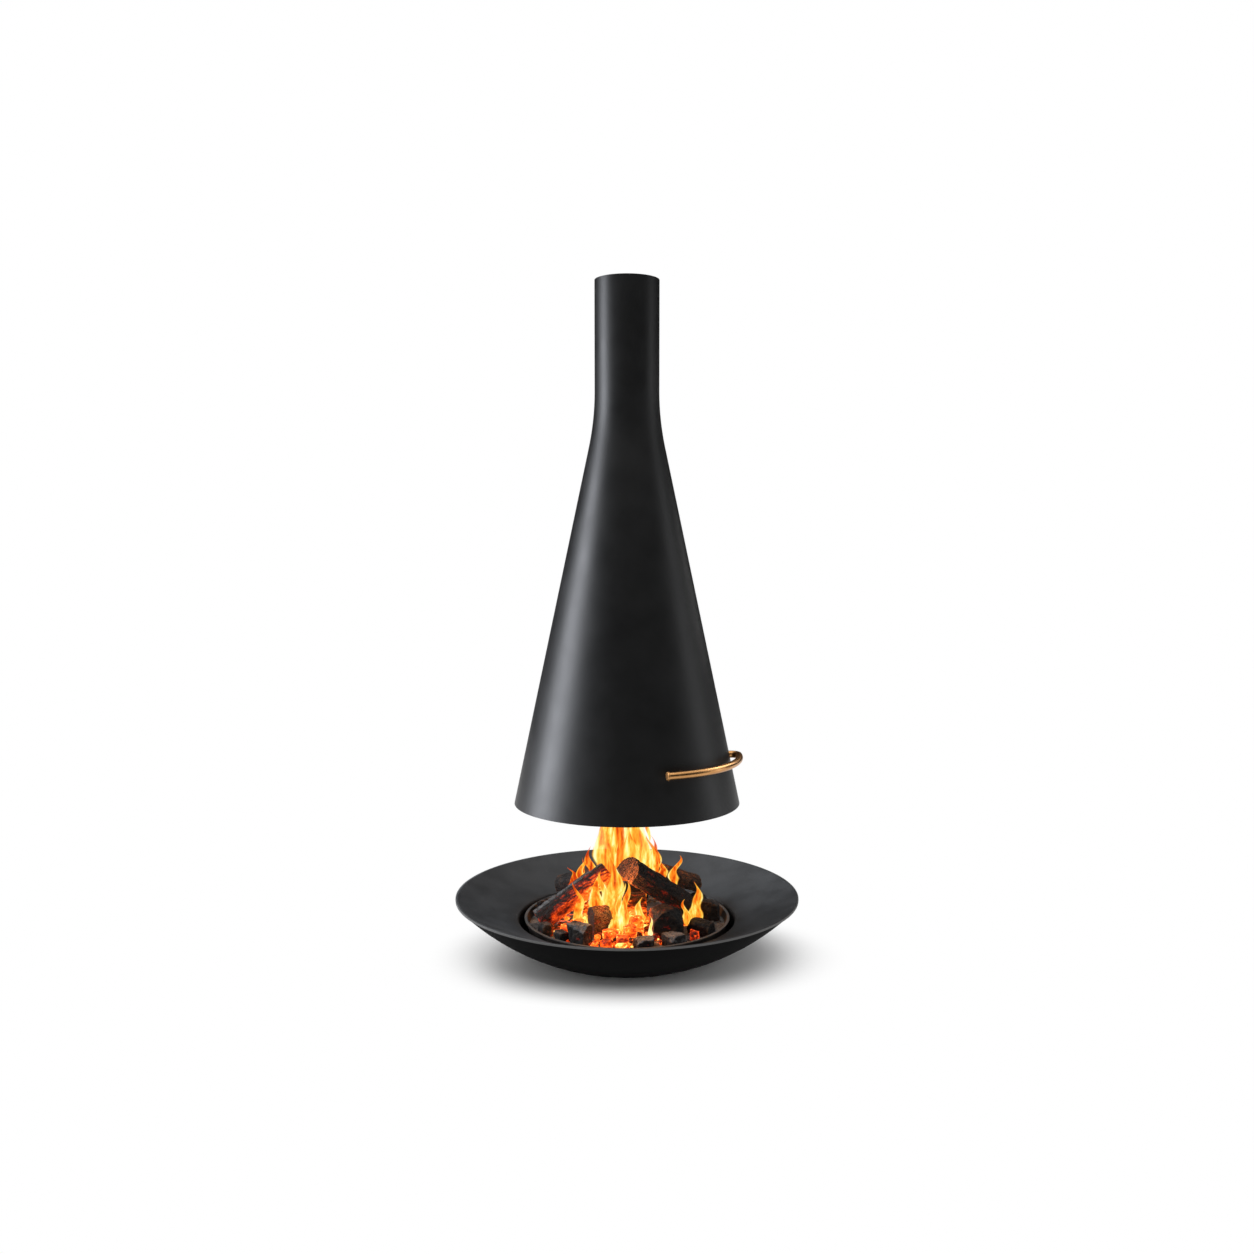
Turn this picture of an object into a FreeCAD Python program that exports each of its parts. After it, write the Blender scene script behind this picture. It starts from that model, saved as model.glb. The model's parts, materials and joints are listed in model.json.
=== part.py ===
import FreeCAD, Part
import math
import os
import random
import re

import Sketcher

# Central fireplace: a hearth bowl on the floor and, above it, a hood that slides on a fixed flue.
# Millimetres and degrees. The origin is on the floor under the middle of the bowl, +Z is up,
# and -Y is the front.
SIZES = {
    # hood: a straight neck that bends into a long cone
    "neck_radius": 110,
    "neck_length": 462,
    "cone_height": 1319,
    "shoulder_bend": 870,
    "rim_radius": 390,
    "rim_height": 538,
    "hood_wall": 2,
    "hood_travel": 390,
    "rim_ring_width": 8,
    "rim_ring_height": 10,
    # guides between neck and flue
    "guide_height": 20,
    "slide_gap": 0.3,
    "stop_gap": 1,
    "seal_width": 8,
    "seal_depth": 6,
    # flue
    "flue_radius": 75,
    "flue_wall": 1.5,
    "flue_inset": 4,
    "flue_tail": 22,
    # sheaves on studs round the flue, and the cables over them
    "sheave_drop": 38,
    "sheave_width": 8,
    "sheave_play": 0.3,
    "sheave_lip": 2,
    "pitch_radius": 20,
    "groove_width": 5.2,
    "groove_gap": 0.08,
    "stud_shoulder": 14,
    "stud_shoulder_radius": 7,
    "stud_radius": 5,
    "stud_tail": 1,
    "bore_gap": 0.05,
    "clip_wall": 1.5,
    "clip_radius": 8,
    "cable_radius": 1.5,
    # cable terminals
    "socket_radius": 5,
    "socket_height": 16,
    "socket_nose": 3,
    "terminal_radius": 3,
    "terminal_depth": 12,
    # arms that carry the hood on its cables
    "arm_drop": 226,
    "arm_wall": 6,
    "arm_boss_radius": 8,
    "arm_boss_height": 18,
    "arm_root": 80,
    "weld_gap": 0.05,
    "nut_radius": 6,
    "nut_height": 5,
    # counterweight rings round the flue
    "weight_gap": 4,
    "weight_outer": 105,
    "weight_height": 104,
    "weight_headroom": 48,
    "notch_gap": 2,
    "tie_radius": 4,
    "tie_head": 7,
    "tie_head_height": 6,
    # grab rail on the hood
    "handle_rise": 159,
    "handle_gap": 20,
    "handle_end": 5,
    "handle_sweep": 75,
    "rod_radius": 12.5,
    "rod_bend": 24,
    "cap_lap": 1.8,
    "cap_wall": 6,
    "cap_round": 2,
    "post_radius": 9,
    "post_inset": 9,
    "screw_radius": 4,
    "screw_depth": 14,
    "screw_head_radius": 6.5,
    "screw_head_height": 5,
    "screw_gap": 0.5,
    # hearth bowl: two skins that meet at the rim
    "hearth_width": 219,
    "bowl_height": 215,
    "foot_radius": 250,
    "dish_wall": 3,
    "rim_thick": 6,
    "rim_width": 8,
    "rim_lap": 3,
    "hearth_bend": 1300,
    "well_radius": 376,
    "well_height": 132,
    "lip_radius": 10,
    "floor_bolt_reach": 180,
    "floor_bolt_radius": 5.5,
    # fire pan on its stand in the well
    "well_gap": 18,
    "pan_rise": 2,
    "pan_depth": 45,
    "pan_wall": 5,
    "pan_lip": 4,
    "pan_draft": 16,
    "rest_gap": 0.3,
    "stand_outer": 245,
    "stand_width": 36,
    "stand_wall": 6,
    "leg_width": 30,
    "leg_wall": 8,
    "ash_depth": 14,
}
SHEAVE_COUNT = 3
WEIGHT_COUNT = 4
LEG_COUNT = 4
BOLT_COUNT = 4
CHIP_COUNT = 9
FULL_TURN = 360
HALF_TURN = 180
RIGHT_ANGLE = 90
ANTICLOCKWISE = 1
CLOCKWISE = -1
H_AXIS_INDEX = -1
V_AXIS_INDEX = -2
UP = FreeCAD.Vector(0, 0, 1)
ACROSS = FreeCAD.Vector(0, 1, 0)
ALONG = FreeCAD.Vector(1, 0, 0)

doc = FreeCAD.newDocument("CentralFireplace")
sheet = doc.addObject("Spreadsheet::Sheet", "Sizes")
for row, (word, size) in enumerate(SIZES.items(), start=1):
    sheet.set(f"A{row}", word)
    sheet.set(f"B{row}", str(size))
    sheet.setAlias(f"B{row}", word)
doc.recompute()
pieces = []


# Reading and binding sizes

def value(text):
    """Number that a text in the sheet's words comes to."""
    result = sheet.evalExpression(text)
    return float(getattr(result, "Value", result))


def tie(thing, prop, text):
    """Bind a property to a text in the sheet's words."""
    words = re.sub(r"[a-z_]+", lambda found: f"Sizes.{found[0]}" if found[0] in SIZES else found[0], text)
    thing.setExpression(prop, words)


def keep(thing, label):
    """Name a finished piece, which is then written out under that name."""
    thing.Label = label
    pieces.append(thing)
    return thing


def place(thing, x="0", y="0", z="0", turn="0", tip=FreeCAD.Rotation()):
    """Tip a thing, set it at (x, y, z) and swing it round the fireplace's axis by turn degrees."""
    thing.Placement = FreeCAD.Placement(FreeCAD.Vector(), FreeCAD.Rotation(UP, value(turn)) * tip)
    swing = f"(({turn}) * 1 deg)"
    tie(thing, "Placement.Base.x", f"({x}) * cos({swing}) - ({y}) * sin({swing})")
    tie(thing, "Placement.Base.y", f"({x}) * sin({swing}) + ({y}) * cos({swing})")
    tie(thing, "Placement.Base.z", z)
    return thing


# Sketches and the features made from them

def sketch_on(body, role, lift="0"):
    """Sketch on one of a body's own planes, lifted off it along its normal."""
    sketch = body.newObject("Sketcher::SketchObject", "Sketch")
    plane = next(feature for feature in body.Origin.OriginFeatures if feature.Role == role)
    sketch.AttachmentSupport = [(plane, "")]
    sketch.MapMode = "FlatFace"
    if lift != "0":
        tie(sketch, "AttachmentOffset.Base.z", lift)
    return sketch


def hold(sketch, side, end, x, y):
    """Hold one end of a side at (x, y), on the sketch's own axis where that is zero."""
    for kind, axis, text in (("DistanceX", V_AXIS_INDEX, x), ("DistanceY", H_AXIS_INDEX, y)):
        distance = value(text)
        if distance == 0:
            sketch.addConstraint(Sketcher.Constraint("PointOnObject", side, end, axis))
        else:
            number = sketch.addConstraint(Sketcher.Constraint(kind, H_AXIS_INDEX, 1, side, end, distance))
            tie(sketch, f"Constraints[{number}]", text)


def arc_between(start, finish, radius, turn):
    """The short arc of one radius from start to finish, running the way that turn says."""
    chord = finish - start
    left = FreeCAD.Vector(-chord.y, chord.x, 0).normalize()
    reach = math.sqrt(radius ** 2 - (chord.Length / 2) ** 2)
    centre = (start + finish) / 2 + left * (reach * turn)
    first, last = (start, finish) if turn == ANTICLOCKWISE else (finish, start)
    opening = math.atan2(first.y - centre.y, first.x - centre.x)
    closing = math.atan2(last.y - centre.y, last.x - centre.x)
    if closing < opening:
        closing += 2 * math.pi
    return Part.ArcOfCircle(Part.Circle(centre, UP, radius), opening, closing)


def draw(sketch, corners, closed=True):
    """Outline through corners (x, y), or (x, y, radius, turn) where an arc leaves the corner."""
    spots = [FreeCAD.Vector(value(corner[0]), value(corner[1]), 0) for corner in corners]
    count = len(corners) if closed else len(corners) - 1
    ends = []
    for side in range(count):
        start, finish = spots[side], spots[(side + 1) % len(spots)]
        if len(corners[side]) == 2:
            sketch.addGeometry(Part.LineSegment(start, finish))
            ends.append((1, 2))
        else:
            radius, turn = corners[side][2:]
            sketch.addGeometry(arc_between(start, finish, value(radius), turn))
            ends.append((1, 2) if turn == ANTICLOCKWISE else (2, 1))
    for side in range(count if closed else count - 1):
        after = (side + 1) % count
        sketch.addConstraint(Sketcher.Constraint("Coincident", side, ends[side][1], after, ends[after][0]))
    for side in range(count):
        hold(sketch, side, ends[side][0], corners[side][0], corners[side][1])
        if len(corners[side]) > 2:
            radius = corners[side][2]
            number = sketch.addConstraint(Sketcher.Constraint("Radius", side, value(radius)))
            tie(sketch, f"Constraints[{number}]", radius)
    if not closed:
        hold(sketch, count - 1, ends[count - 1][1], corners[count][0], corners[count][1])
    return sketch


def draw_circle(sketch, x, y, radius):
    """Circle about (x, y)."""
    centre = FreeCAD.Vector(value(x), value(y), 0)
    side = sketch.addGeometry(Part.Circle(centre, UP, value(radius)))
    hold(sketch, side, 3, x, y)
    number = sketch.addConstraint(Sketcher.Constraint("Radius", side, value(radius)))
    tie(sketch, f"Constraints[{number}]", radius)
    return sketch


def turned(corners, axis="V_Axis"):
    """Body of revolution: an outline of (radius, height), or of (reach, radius) about the H axis."""
    body = doc.addObject("PartDesign::Body", "Body")
    sketch = draw(sketch_on(body, "XZ_Plane"), corners)
    turn = body.newObject("PartDesign::Revolution", "Revolution")
    turn.Profile = sketch
    turn.ReferenceAxis = (sketch, [axis])
    turn.Angle = FULL_TURN
    doc.recompute()
    return body


def pad(body, sketch, length, both_ways=False):
    """Thicken a sketch, upwards from its plane or half to each side."""
    feature = body.newObject("PartDesign::Pad", "Pad")
    feature.Profile = sketch
    tie(feature, "Length", length)
    feature.Midplane = both_ways
    doc.recompute()
    return feature


def pocket(body, sketch):
    """Cut a sketch right through what stands above its plane."""
    before = body.Shape.Volume
    feature = body.newObject("PartDesign::Pocket", "Pocket")
    feature.Profile = sketch
    feature.Type = "ThroughAll"
    feature.Reversed = True
    doc.recompute()
    if body.Shape.Volume >= before:
        raise RuntimeError(f"a pocket of {body.Name} cuts nothing")
    return feature


def repeat_round(body, feature, count):
    """Repeat a feature evenly round the upright axis."""
    pattern = body.newObject("PartDesign::PolarPattern", "PolarPattern")
    pattern.Originals = [feature]
    pattern.Axis = (feature.Profile[0], ["N_Axis"])
    pattern.Angle = FULL_TURN
    pattern.Occurrences = count
    body.Tip = pattern
    doc.recompute()


def cylinder(radius, height):
    """Upright cylinder."""
    rod = doc.addObject("Part::Cylinder", "Cylinder")
    tie(rod, "Radius", radius)
    tie(rod, "Height", height)
    return rod


def cut(base, *tools):
    """Take each tool out of a piece."""
    for tool in tools:
        result = doc.addObject("Part::Cut", "Cut")
        result.Base = base
        result.Tool = tool
        base = result
    doc.recompute()
    return base


def group(label, members):
    """Like pieces that share one name as separate solids."""
    compound = doc.addObject("Part::Compound", "Compound")
    compound.Links = members
    doc.recompute()
    return keep(compound, label)


# Heights and radii that several pieces share, in the sheet's words

SHOULDER_HEIGHT = "(rim_height + cone_height)"
TOP_HEIGHT = f"({SHOULDER_HEIGHT} + neck_length)"
HANDLE_HEIGHT = "(rim_height + handle_rise)"
BOWL_RADIUS = "(well_radius + hearth_width)"
FLARE = "((rim_radius - neck_radius) / cone_height)"
SLANT = f"sqrt(1 + {FLARE} ^ 2)"
BEND_REACH = f"(shoulder_bend * ({SLANT} - 1) / {FLARE})"
BEND_TOP = f"({SHOULDER_HEIGHT} + {BEND_REACH})"
BEND_FOOT = f"({SHOULDER_HEIGHT} - {BEND_REACH} / {SLANT})"
BEND_FOOT_RADIUS = f"(neck_radius + {BEND_REACH} * {FLARE} / {SLANT})"
NECK_BORE = "(neck_radius - hood_wall)"
GUIDE_BORE = "(flue_radius + slide_gap)"
NECK_GUIDE_FOOT = f"({TOP_HEIGHT} - guide_height)"
FLUE_GUIDE_TOP = f"({NECK_GUIDE_FOOT} - hood_travel - stop_gap)"
SHEAVE_HEIGHT = f"({FLUE_GUIDE_TOP} - guide_height - sheave_drop)"
SHEAVE_FACE = "(flue_radius + stud_shoulder + sheave_play)"
SHEAVE_REACH = f"({SHEAVE_FACE} + sheave_width / 2)"
CABLE_REACH = f"sqrt({SHEAVE_REACH} ^ 2 + pitch_radius ^ 2)"
CABLE_SWING = f"(atan(pitch_radius / {SHEAVE_REACH}) / 1 deg)"
ARM_TOP = f"({SHEAVE_HEIGHT} - arm_drop)"
WEIGHT_TOP = f"({SHEAVE_HEIGHT} - hood_travel - weight_headroom)"
WEIGHT_FOOT = f"({WEIGHT_TOP} - {WEIGHT_COUNT} * weight_height)"
WEIGHT_BORE = "(flue_radius + weight_gap)"
TIE_REACH = f"(({WEIGHT_BORE} + weight_outer) / 2)"
FLUE_FOOT = f"({WEIGHT_FOOT} - flue_tail)"
EDGE_RADIUS = f"({BOWL_RADIUS} - rim_lap)"
EDGE_HEIGHT = "(bowl_height - rim_thick)"
DISH_CENTRE = f"(({EDGE_RADIUS} ^ 2 - foot_radius ^ 2 + {EDGE_HEIGHT} ^ 2) / (2 * {EDGE_HEIGHT}))"
DISH_ROUND = f"sqrt(foot_radius ^ 2 + {DISH_CENTRE} ^ 2)"
DISH_BORE = f"({DISH_ROUND} - dish_wall)"
PAN_RIM = "(well_radius - well_gap)"
PAN_TOP = "(well_height + pan_rise)"
PAN_FOOT = f"({PAN_TOP} - pan_depth)"
PAN_FLOOR = f"({PAN_FOOT} + pan_wall)"
PAN_FLOOR_RADIUS = f"({PAN_RIM} - pan_draft - pan_wall)"
PAN_BORE = f"({PAN_RIM} - pan_lip - pan_wall)"
ASH_TOP = f"({PAN_FLOOR} + ash_depth)"
ASH_RADIUS = f"({PAN_FLOOR_RADIUS} + ({PAN_BORE} - {PAN_FLOOR_RADIUS}) * ash_depth / (pan_depth - pan_wall))"


def hood_radius(height):
    """Outer radius of the hood's cone at a height."""
    return f"(rim_radius - {FLARE} * (({height}) - rim_height))"


def hood_bore(height):
    """Inner radius of the hood's cone at a height."""
    return f"({hood_radius(height)} - hood_wall * {SLANT})"


def round_angle(number):
    """Angle of one of the sheaves, with the first at the back so that none hides the next."""
    return f"({RIGHT_ANGLE} + {number} * {FULL_TURN} / {SHEAVE_COUNT})"


# Hearth bowl

def outer_dish():
    """Spun skin, round about one centre above, with a flat foot and holes for floor bolts."""
    inner_foot = f"sqrt({DISH_BORE} ^ 2 - ({DISH_CENTRE} - dish_wall) ^ 2)"
    inner_edge = f"sqrt({DISH_BORE} ^ 2 - ({DISH_CENTRE} - {EDGE_HEIGHT}) ^ 2)"
    body = turned([
        ("0", "0"),
        ("foot_radius", "0", DISH_ROUND, ANTICLOCKWISE),
        (EDGE_RADIUS, EDGE_HEIGHT),
        (inner_edge, EDGE_HEIGHT, DISH_BORE, CLOCKWISE),
        (inner_foot, "dish_wall"),
        ("0", "dish_wall"),
    ])
    hole = draw_circle(sketch_on(body, "XY_Plane"), "floor_bolt_reach", "0", "floor_bolt_radius")
    repeat_round(body, pocket(body, hole), BOLT_COUNT)
    return keep(body, "outer_dish")


def inner_dish():
    """Hearth skin: a flat rim on the outer skin's edge, a hollow slope, a lip and the well's wall."""
    wall_outside = "well_radius + dish_wall"
    wall_foot = f"{DISH_CENTRE} - sqrt({DISH_BORE} ^ 2 - ({wall_outside}) ^ 2)"
    lip_foot = "well_height - lip_radius"
    lip_reach = "well_radius + lip_radius"
    body = turned([
        (BOWL_RADIUS, EDGE_HEIGHT),
        (BOWL_RADIUS, "bowl_height"),
        (f"{BOWL_RADIUS} - rim_width", "bowl_height", "hearth_bend", CLOCKWISE),
        (lip_reach, "well_height", "lip_radius", ANTICLOCKWISE),
        ("well_radius", lip_foot),
        ("well_radius", wall_foot),
        (wall_outside, wall_foot),
        (wall_outside, lip_foot, "lip_radius - dish_wall", CLOCKWISE),
        (lip_reach, "well_height - dish_wall", "hearth_bend + dish_wall", ANTICLOCKWISE),
        (f"{BOWL_RADIUS} - rim_width - rim_thick", EDGE_HEIGHT),
    ])
    return keep(body, "inner_dish")


def pan_stand():
    """Flat ring on four legs that stand on the bowl's foot."""
    ring_top = f"{PAN_FOOT} - rest_gap"
    ring_foot = f"{ring_top} - stand_wall"
    ring_bore = "stand_outer - stand_width"
    body = turned([
        (ring_bore, ring_foot),
        ("stand_outer", ring_foot),
        ("stand_outer", ring_top),
        (ring_bore, ring_top),
    ])
    inside = "stand_outer - stand_width / 2 - leg_wall / 2"
    outside = "stand_outer - stand_width / 2 + leg_wall / 2"
    leg = draw(sketch_on(body, "XY_Plane", "dish_wall"), [
        (inside, "-leg_width / 2"),
        (outside, "-leg_width / 2"),
        (outside, "leg_width / 2"),
        (inside, "leg_width / 2"),
    ])
    repeat_round(body, pad(body, leg, f"{ring_foot} - dish_wall"), LEG_COUNT)
    return keep(body, "pan_stand")


# Fire pan and fuel

def fire_pan():
    """Dished pan with drawn-in sides and a rolled lip."""
    body = turned([
        ("0", PAN_FOOT),
        (f"{PAN_RIM} - pan_draft", PAN_FOOT),
        (f"{PAN_RIM} - pan_lip", f"{PAN_TOP} - pan_lip"),
        (PAN_RIM, f"{PAN_TOP} - pan_lip"),
        (PAN_RIM, PAN_TOP),
        (PAN_BORE, PAN_TOP),
        (PAN_FLOOR_RADIUS, PAN_FLOOR),
        ("0", PAN_FLOOR),
    ])
    return keep(body, "fire_pan")


def ash_bed():
    """Level layer of ash over the pan's floor."""
    body = turned([
        ("0", PAN_FLOOR),
        (PAN_FLOOR_RADIUS, PAN_FLOOR),
        (ASH_RADIUS, ASH_TOP),
        ("0", ASH_TOP),
    ])
    return keep(body, "ash_bed")


# The fuel is as long, wide and high as these shares of the ash bed's radius
LOG_LENGTH = f"(0.9672 * {ASH_RADIUS})"
LOG_WIDTH = f"(0.3458 * {ASH_RADIUS})"
LOG_HEIGHT = f"(0.3048 * {ASH_RADIUS})"
COAL_WIDTH = f"(0.3517 * {ASH_RADIUS})"
COAL_HEIGHT = f"(0.3224 * {ASH_RADIUS})"
EMBER_WIDTH = f"(0.17 * {ASH_RADIUS})"
EMBER_HEIGHT = f"(0.1758 * {ASH_RADIUS})"

# Each lump: place across and back as shares of the ash bed's radius, width and height shares, turn
COAL_SHARES = [
    (-0.45, -0.70, 0.64, 0.68, 56),
    (-0.26, -0.40, 0.66, 0.98, 22),
    (0.39, -0.45, 0.88, 0.92, 8),
    (0.16, -0.82, 0.58, 0.36, 4),
    (0.46, -0.76, 0.56, 0.40, 32),
    (0.74, -0.33, 0.70, 0.38, 66),
    (0.86, 0.10, 0.55, 0.60, 7),
    (0.73, 0.47, 0.60, 0.45, 33),
    (-0.84, 0.22, 0.50, 0.58, 75),
    (-0.62, 0.55, 0.64, 0.45, 48),
    (0.10, 0.80, 0.72, 0.70, 83),
    (-0.28, 0.80, 0.58, 0.55, 19),
    (0.45, 0.76, 0.50, 0.45, 59),
    (-0.80, -0.42, 0.42, 0.40, 28),
    (-0.64, -0.60, 0.44, 0.34, 40),
]
EMBER_SHARES = [
    (-0.16, -0.66, 0.96, 0.80, 3),
    (0.03, -0.61, 0.76, 1.00, 8),
    (-0.04, -0.82, 0.76, 0.70, 2),
    (-0.19, -0.84, 0.72, 0.60, 10),
    (-0.31, -0.87, 0.40, 0.50, 71),
    (0.10, -0.42, 0.80, 1.20, 4),
    (0.09, -0.24, 0.84, 1.10, 0),
    (-0.48, -0.36, 0.76, 0.90, 6),
    (0.66, -0.56, 0.60, 0.60, 50),
    (-0.06, -0.12, 0.74, 1.00, 5),
    (0.63, -0.08, 0.80, 0.36, 82),
    (-0.60, -0.40, 0.60, 0.60, 34),
]
KEPT_SHARES = (0.62, 0.84)
UPWARD_SHARE = 0.5


def lump(dice, width, height):
    """Broken lump: a block that stands flat, with its corners struck off by random straight cuts."""
    block = Part.makeBox(width, width, height, FreeCAD.Vector(-width / 2, -width / 2, 0))
    middle = FreeCAD.Vector(0, 0, height / 2)
    span = width + height
    for chip in range(CHIP_COUNT):
        facing = FreeCAD.Vector(*[dice.uniform(-1, 1) for axis in range(3)]) + UP * UPWARD_SHARE
        facing.normalize()
        corner = (abs(facing.x) + abs(facing.y)) * width / 2 + abs(facing.z) * height / 2
        waste = Part.makeBox(2 * span, 2 * span, span, FreeCAD.Vector(-span, -span, 0))
        reach = facing * (corner * dice.uniform(*KEPT_SHARES))
        waste.Placement = FreeCAD.Placement(middle + reach, FreeCAD.Rotation(UP, facing))
        block = block.cut(waste)
    return block


def lumps(label, shares, width, height):
    """Group of lumps that stand on the ash."""
    dice = random.Random(label)
    bed = value(ASH_RADIUS)
    solids = []
    for across_share, back_share, width_share, height_share, turn in shares:
        solid = lump(dice, width_share * value(width), height_share * value(height))
        spot = FreeCAD.Vector(across_share * bed, back_share * bed, value(ASH_TOP))
        solid.Placement = FreeCAD.Placement(spot, FreeCAD.Rotation(UP, turn)) * solid.Placement
        solids += solid.Solids
    feature = doc.addObject("Part::Feature", "Lumps")
    feature.Shape = Part.makeCompound(solids)
    return keep(feature, label)


# Each log: middle across and back as shares of the ash bed's radius, then its heading, tilt and roll
# in degrees, then length and girth shares
LOG_SHARES = {
    "log_5": (-0.14, 0.17, 4, 0, 0, 0.70, 1.10),
    "log_3": (-0.46, 0.44, -42, 22, 0, 0.66, 0.72),
    "log_4": (0.44, 0.45, 214, 22, 0, 0.70, 0.80),
    "log_1": (-0.50, -0.08, 14, 33, 0, 0.88, 0.86),
    "log_2": (0.23, -0.13, 36, -34, 12, 0.86, 1.00),
}
SPLIT_SHARE = 0.40
BARK_SHARE = 0.62
DROP_SHARE = 0.5


def log(label, beds):
    """Split log: two cleft sides and a bark back, laid at a slant and let down onto what lies below."""
    across_share, back_share, heading, tilt, roll, length_share, girth_share = LOG_SHARES[label]
    body = doc.addObject("PartDesign::Body", "Body")
    side = f"{girth_share / 2} * {LOG_WIDTH}"
    cleft = f"{girth_share * SPLIT_SHARE} * {LOG_HEIGHT}"
    section = draw(sketch_on(body, "YZ_Plane"), [
        (f"-{side}", "0"),
        (side, "0"),
        (side, cleft, f"{girth_share * BARK_SHARE} * {LOG_HEIGHT}", ANTICLOCKWISE),
        (f"-{side}", cleft),
    ])
    pad(body, section, f"{length_share} * {LOG_LENGTH}", both_ways=True)
    lean = FreeCAD.Rotation(UP, heading) * FreeCAD.Rotation(ACROSS, -tilt) * FreeCAD.Rotation(ALONG, roll)
    start = value(f"bowl_height + {LOG_LENGTH} + {ASH_TOP}")
    bed = value(ASH_RADIUS)
    body.Placement = FreeCAD.Placement(FreeCAD.Vector(across_share * bed, back_share * bed, start), lean)
    let_down(body, beds)
    return keep(body, label)


def let_down(body, beds):
    """Lower a body until it lies within the rest gap of the first thing that it meets."""
    gap = value("rest_gap")
    fallen = body.Shape.copy()
    clear = min(fallen.distToShape(bed.Shape)[0] for bed in beds)
    while clear > gap:
        fallen.translate(FreeCAD.Vector(0, 0, gap * DROP_SHARE - clear))
        clear = min(fallen.distToShape(bed.Shape)[0] for bed in beds)
    body.Placement = fallen.Placement


# Flue, sheaves and cables

def flue_pipe():
    """Straight pipe that the hood slides on and the smoke leaves by."""
    top = f"{TOP_HEIGHT} - flue_inset"
    bore = "flue_radius - flue_wall"
    body = turned([(bore, FLUE_FOOT), ("flue_radius", FLUE_FOOT), ("flue_radius", top), (bore, top)])
    return keep(body, "flue_pipe")


def flue_guide():
    """Ring on the flue that centres the neck and stops the hood at its lowest."""
    foot = f"{FLUE_GUIDE_TOP} - guide_height"
    outside = f"{NECK_BORE} - slide_gap"
    body = turned([
        ("flue_radius", foot),
        (outside, foot),
        (outside, FLUE_GUIDE_TOP),
        ("flue_radius", FLUE_GUIDE_TOP),
    ])
    return keep(body, "flue_guide")


def sheave_stud(number):
    """Shouldered pin that stands out from the flue, with a neck for the clip."""
    shoulder = "flue_radius + stud_shoulder"
    clip_face = f"{SHEAVE_FACE} + sheave_width + sheave_play"
    clip_back = f"{clip_face} + clip_wall"
    neck = "stud_radius - clip_wall"
    body = turned([
        ("flue_radius", "0"),
        ("flue_radius", "stud_shoulder_radius"),
        (shoulder, "stud_shoulder_radius"),
        (shoulder, "stud_radius"),
        (clip_face, "stud_radius"),
        (clip_face, neck),
        (clip_back, neck),
        (clip_back, "stud_radius"),
        (f"{clip_back} + stud_tail", "stud_radius"),
        (f"{clip_back} + stud_tail", "0"),
    ], axis="H_Axis")
    place(body, z=SHEAVE_HEIGHT, turn=round_angle(number))
    return keep(body, f"sheave_stud_{number + 1}")


def sheave(number):
    """Grooved wheel with a hub that runs on its stud."""
    face, back = SHEAVE_FACE, f"({SHEAVE_FACE} + sheave_width)"
    bore = "stud_radius + bore_gap"
    rim = "pitch_radius + sheave_lip"
    floor = "pitch_radius - cable_radius - groove_gap"
    mouth = "groove_width / 2"
    root = "cable_radius + groove_gap"
    body = turned([
        (face, bore),
        (back, bore),
        (back, rim),
        (f"{SHEAVE_REACH} + {mouth}", rim),
        (f"{SHEAVE_REACH} + {root}", floor),
        (f"{SHEAVE_REACH} - ({root})", floor),
        (f"{SHEAVE_REACH} - {mouth}", rim),
        (face, rim),
    ], axis="H_Axis")
    place(body, z=SHEAVE_HEIGHT, turn=round_angle(number))
    return keep(body, f"sheave_{number + 1}")


def sheave_clip(number):
    """Ring in the stud's neck that keeps the sheave on."""
    face = f"({SHEAVE_FACE} + sheave_width + sheave_play)"
    bore = "stud_radius - clip_wall"
    body = turned([
        (face, bore),
        (f"{face} + clip_wall", bore),
        (f"{face} + clip_wall", "clip_radius"),
        (face, "clip_radius"),
    ], axis="H_Axis")
    return place(body, z=SHEAVE_HEIGHT, turn=round_angle(number))


def cable_wrap(number):
    """The half turn of a cable that lies over its sheave."""
    wrap = doc.addObject("Part::Torus", "Torus")
    tie(wrap, "Radius1", "pitch_radius")
    tie(wrap, "Radius2", "cable_radius")
    wrap.Angle3 = HALF_TURN
    upright = FreeCAD.Rotation(UP, RIGHT_ANGLE) * FreeCAD.Rotation(ALONG, RIGHT_ANGLE)
    return place(wrap, SHEAVE_REACH, "0", SHEAVE_HEIGHT, round_angle(number), upright)


def cable_run(number, side, foot):
    """Straight stretch of cable from a sheave's flank down to a socket."""
    run = cylinder("cable_radius", f"{SHEAVE_HEIGHT} - ({foot})")
    return place(run, SHEAVE_REACH, f"{side} * pitch_radius", foot, round_angle(number))


def socket(number, side, foot, tail):
    """Cable socket on a threaded tail, tapered towards the cable."""
    body = turned([
        ("0", f"-({tail})"),
        ("terminal_radius", f"-({tail})"),
        ("terminal_radius", "0"),
        ("socket_radius", "0"),
        ("socket_radius", "socket_height / 2"),
        ("socket_nose", "socket_height"),
        ("0", "socket_height"),
    ])
    return place(body, SHEAVE_REACH, f"{side} * pitch_radius", foot, round_angle(number))


def arm_nut(number):
    """Nut under a cable arm's boss."""
    body = turned([
        ("terminal_radius", "0"),
        ("nut_radius", "0"),
        ("nut_radius", "nut_height"),
        ("terminal_radius", "nut_height"),
    ])
    foot = f"{ARM_TOP} - arm_boss_height - nut_height"
    return place(body, SHEAVE_REACH, "pitch_radius", foot, round_angle(number))


# Hood and its fittings

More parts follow.
